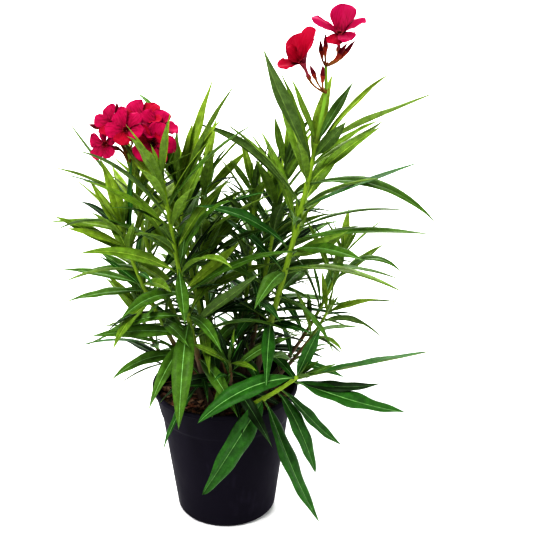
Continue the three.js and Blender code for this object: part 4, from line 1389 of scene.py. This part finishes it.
# Each finish: its stops from dark to pale, scale of its grain, roughness, bump strength and depth, specular.
mixFinishes = {
    "potting_mix": ([(0.3, (0.016, 0.010, 0.007)), (0.5, (0.05, 0.03, 0.018)), (0.72, (0.14, 0.085, 0.05))],
                    420.0, 0.95, 0.7, 0.0012, 0.2),
    "bark_chip": ([(0.3, (0.05, 0.02, 0.012)), (0.55, (0.15, 0.06, 0.033)), (0.75, (0.26, 0.13, 0.07))],
                  260.0, 0.85, 0.6, 0.0008, 0.25),
    "bark_chip_dark": ([(0.3, (0.02, 0.011, 0.008)), (0.6, (0.07, 0.033, 0.022)), (0.8, (0.13, 0.07, 0.045))],
                       260.0, 0.85, 0.6, 0.0008, 0.25),
    "bark_chip_pale": ([(0.3, (0.11, 0.06, 0.035)), (0.55, (0.27, 0.17, 0.10)), (0.75, (0.42, 0.3, 0.2))],
                       260.0, 0.85, 0.6, 0.0008, 0.25),
    "dry_leaf": ([(0.3, (0.11, 0.055, 0.02)), (0.5, (0.25, 0.14, 0.05)), (0.7, (0.4, 0.27, 0.1))],
                 160.0, 0.75, 0.4, 0.0006, 0.3),
}


def speckledFinish(name, stops, scale, roughness, strength, depth, specular):
    finish = Finish(name, roughness, specular)
    grain = finish.noise(finish.position(), scale, 5.0)
    finish.paint(grain, stops)
    finish.bump(grain, strength, depth)
    return finish.material


def lumpHeight(x, y):
    return mixLook["lumps"] * noise.fractal(Vector((x * 0.09, y * 0.09, 3.7)), 0.7, 2.2, 4)


def makeMix():
    look, p = mixLook, potLook
    gap = clearance
    inset = p["wall"] + gap
    share = (soilLevel - p["collarFootHeight"]) / (p["height"] - 1.5 - p["collarFootHeight"])
    edge = mix(p["collarFootRadius"], p["collarTopRadius"] + 1, share) - p["wall"] - gap
    line = [
        (0, p["floor"] + gap), (p["footRadius"] - p["footRounding"] - gap, p["floor"] + gap),
        (p["footRadius"] - inset, p["footRounding"] + gap), (p["neckRadius"] - inset, p["neckHeight"] + gap),
        (p["collarFootRadius"] - inset, p["collarFootHeight"] + 2 * gap),
        (edge - 0.4, soilLevel - look["edgeDrop"]),
    ]
    for i in range(1, look["rings"] + 1):
        radius = (edge - 0.4) * (1 - i / look["rings"])
        line.append((radius, soilLevel - look["edgeDrop"] * smooth(edge - 9, edge, radius)))

    def lift(radius, height, angles):
        if height < soilLevel - look["edgeDrop"] - 0.01:
            return np.zeros(len(angles))
        return np.array([lumpHeight(radius * math.cos(a), radius * math.sin(a)) for a in angles])

    return turnedPart(line, look["segments"], lift)


# A random place on the mix, within a radius.
def placeOnMix(draw, within):
    angle, reach = 2 * math.pi * draw(), within * math.sqrt(draw())
    x, y = reach * math.cos(angle), reach * math.sin(angle)
    return np.array([x, y, soilLevel + lumpHeight(x, y)])


def makeChip(draw, slot):
    look = mixLook
    centre = placeOnMix(draw, look["chipSpread"])
    length = mix(*look["chipLength"], draw() ** 1.6)
    width, height = length * mix(*look["chipWidth"], draw()), mix(*look["chipThickness"], draw())
    heading, pitch = 2 * math.pi * draw(), look["chipPitch"] * (draw() - 0.5)
    level = math.cos(pitch)
    ahead = np.array([math.cos(heading) * level, math.sin(heading) * level, math.sin(pitch)])
    side = unit(np.cross(-down, ahead))
    side, upper = turned(side, np.cross(ahead, side), look["chipRoll"] * (draw() - 0.5))
    centre = centre - down * (height * 0.35 + 0.6)
    rings = []
    for s in np.linspace(-0.5, 0.5, 5):
        taper = 1 - 0.75 * (2 * abs(s)) ** (2 + 2 * draw())
        ring = []
        for u, v in look["chipOutline"]:
            jitter = taper * (1 + look["chipJitter"] * (draw() - 0.5)) / 2
            ring.append(centre + ahead * length * s + side * u * width * jitter + upper * v * height * jitter)
        rings.append(ring)
    return skinPart(np.array(rings) * mm, slot)


def makeDryLeaf(draw, slot):
    look = mixLook
    place = placeOnMix(draw, look["drySpread"])
    leaf = {
        "at": (place - down * look["dryRise"]) * mm, "way": -down, "heading": 360 * draw(),
        "spread": look["dryLean"], "length": mix(*look["dryLength"], draw()) * mm,
        "droop": look["dryDroop"], "roll": look["dryRoll"] * (draw() - 0.5), "breadth": 1,
        "seed": int(1000 * draw()), "fresh": 3,
    }
    return growBlade(leaf, {"face": slot, "back": slot, "rib": slot, "ribBack": slot})


mixMaterials = [speckledFinish(name, *values) for name, values in mixFinishes.items()]
mixNames = list(mixFinishes)
chipDeal = ((0.5, "bark_chip"), (0.82, "bark_chip_dark"), (1, "bark_chip_pale"))  # each up to its share
mixDraw = chance(61)
mixParts = [makeMix()]
for _ in range(mixLook["chips"]):
    pick = mixDraw()
    name = next(name for most, name in chipDeal if pick < most)
    mixParts.append(makeChip(mixDraw, mixNames.index(name)))
for _ in range(mixLook["dryLeaves"]):
    mixParts.append(makeDryLeaf(mixDraw, mixNames.index("dry_leaf")))
makePiece("potting_bark", mixParts, mixMaterials, ["soil"], 1)
print("potting mix with", mixLook["chips"], "chips")


# A plain pale floor, soft studio lights and the camera.
studioLook = {
    "floorSize": 9.0,  # metres
    "floorColor": (0.93, 0.93, 0.93),
    "skyStrength": 0.42,
    "cameraPlace": (0.049, -1.3, 0.844),
    "cameraPitch": 22.24,  # degrees below the horizon
    "lens": 83.1,
    "sensor": 36.0,
    "look": "High Contrast",
    "gamma": 0.92,
}
lampLook = [
    # name, place, target, size, power
    ("key", (-1.1, -1.3, 2.6), (0, 0, 0.3), 0.9, 70),
    ("side", (1.9, -0.9, 1.5), (0, 0, 0.3), 0.8, 18),
    ("back", (0.4, 2.0, 2.6), (0, 0, 0.0), 1.6, 60),
    ("backdrop", (0, 3.6, 2.2), (0, 3.6, 0), 3.0, 150),
]


def addToScene(name, data, place=(0, 0, 0)):
    holder = bpy.data.objects.new(name, data)
    holder.location = place
    bpy.context.scene.collection.objects.link(holder)
    return holder


def makeFloor():
    size = studioLook["floorSize"]
    mesh = bpy.data.meshes.new("floor")
    corners = [(-size, -size, 0), (size, -size, 0), (size, size, 0), (-size, size, 0)]
    mesh.from_pydata(corners, [], [(0, 1, 2, 3)])
    finish = Finish("floor_paper", 0.8, 0.2)
    base = studioLook["floorColor"]
    finish.paint(finish.noise(finish.position(), 4.0, 3.0), [(0.3, tinted(base, 0.985)), (0.7, base)])
    mesh.materials.append(finish.material)
    floor = addToScene("floor", mesh)


def makeLights():
    world = bpy.data.worlds.new("studio")
    world.use_nodes = True
    background = world.node_tree.nodes["Background"]
    background.inputs["Color"].default_value = (1, 1, 1, 1)
    background.inputs["Strength"].default_value = studioLook["skyStrength"]
    bpy.context.scene.world = world
    for name, place, target, width, power in lampLook:
        lamp = bpy.data.lights.new(name, "AREA")
        lamp.shape = "SQUARE"
        lamp.size = width
        lamp.energy = power
        holder = addToScene(name, lamp, place)
        holder.rotation_euler = (Vector(target) - Vector(place)).to_track_quat("-Z", "Y").to_euler()


def makeCamera():
    look = studioLook
    camera = bpy.data.cameras.new("camera")
    camera.lens = look["lens"]
    camera.sensor_width = look["sensor"]
    camera.clip_start = 0.05
    holder = addToScene("camera", camera, look["cameraPlace"])
    holder.rotation_euler = (math.radians(90 - look["cameraPitch"]), 0, 0)
    bpy.context.scene.camera = holder
    view = bpy.context.scene.view_settings
    view.view_transform = "Standard"
    view.look = look["look"]
    view.gamma = look["gamma"]


makeFloor()
makeLights()
makeCamera()
print("studio")
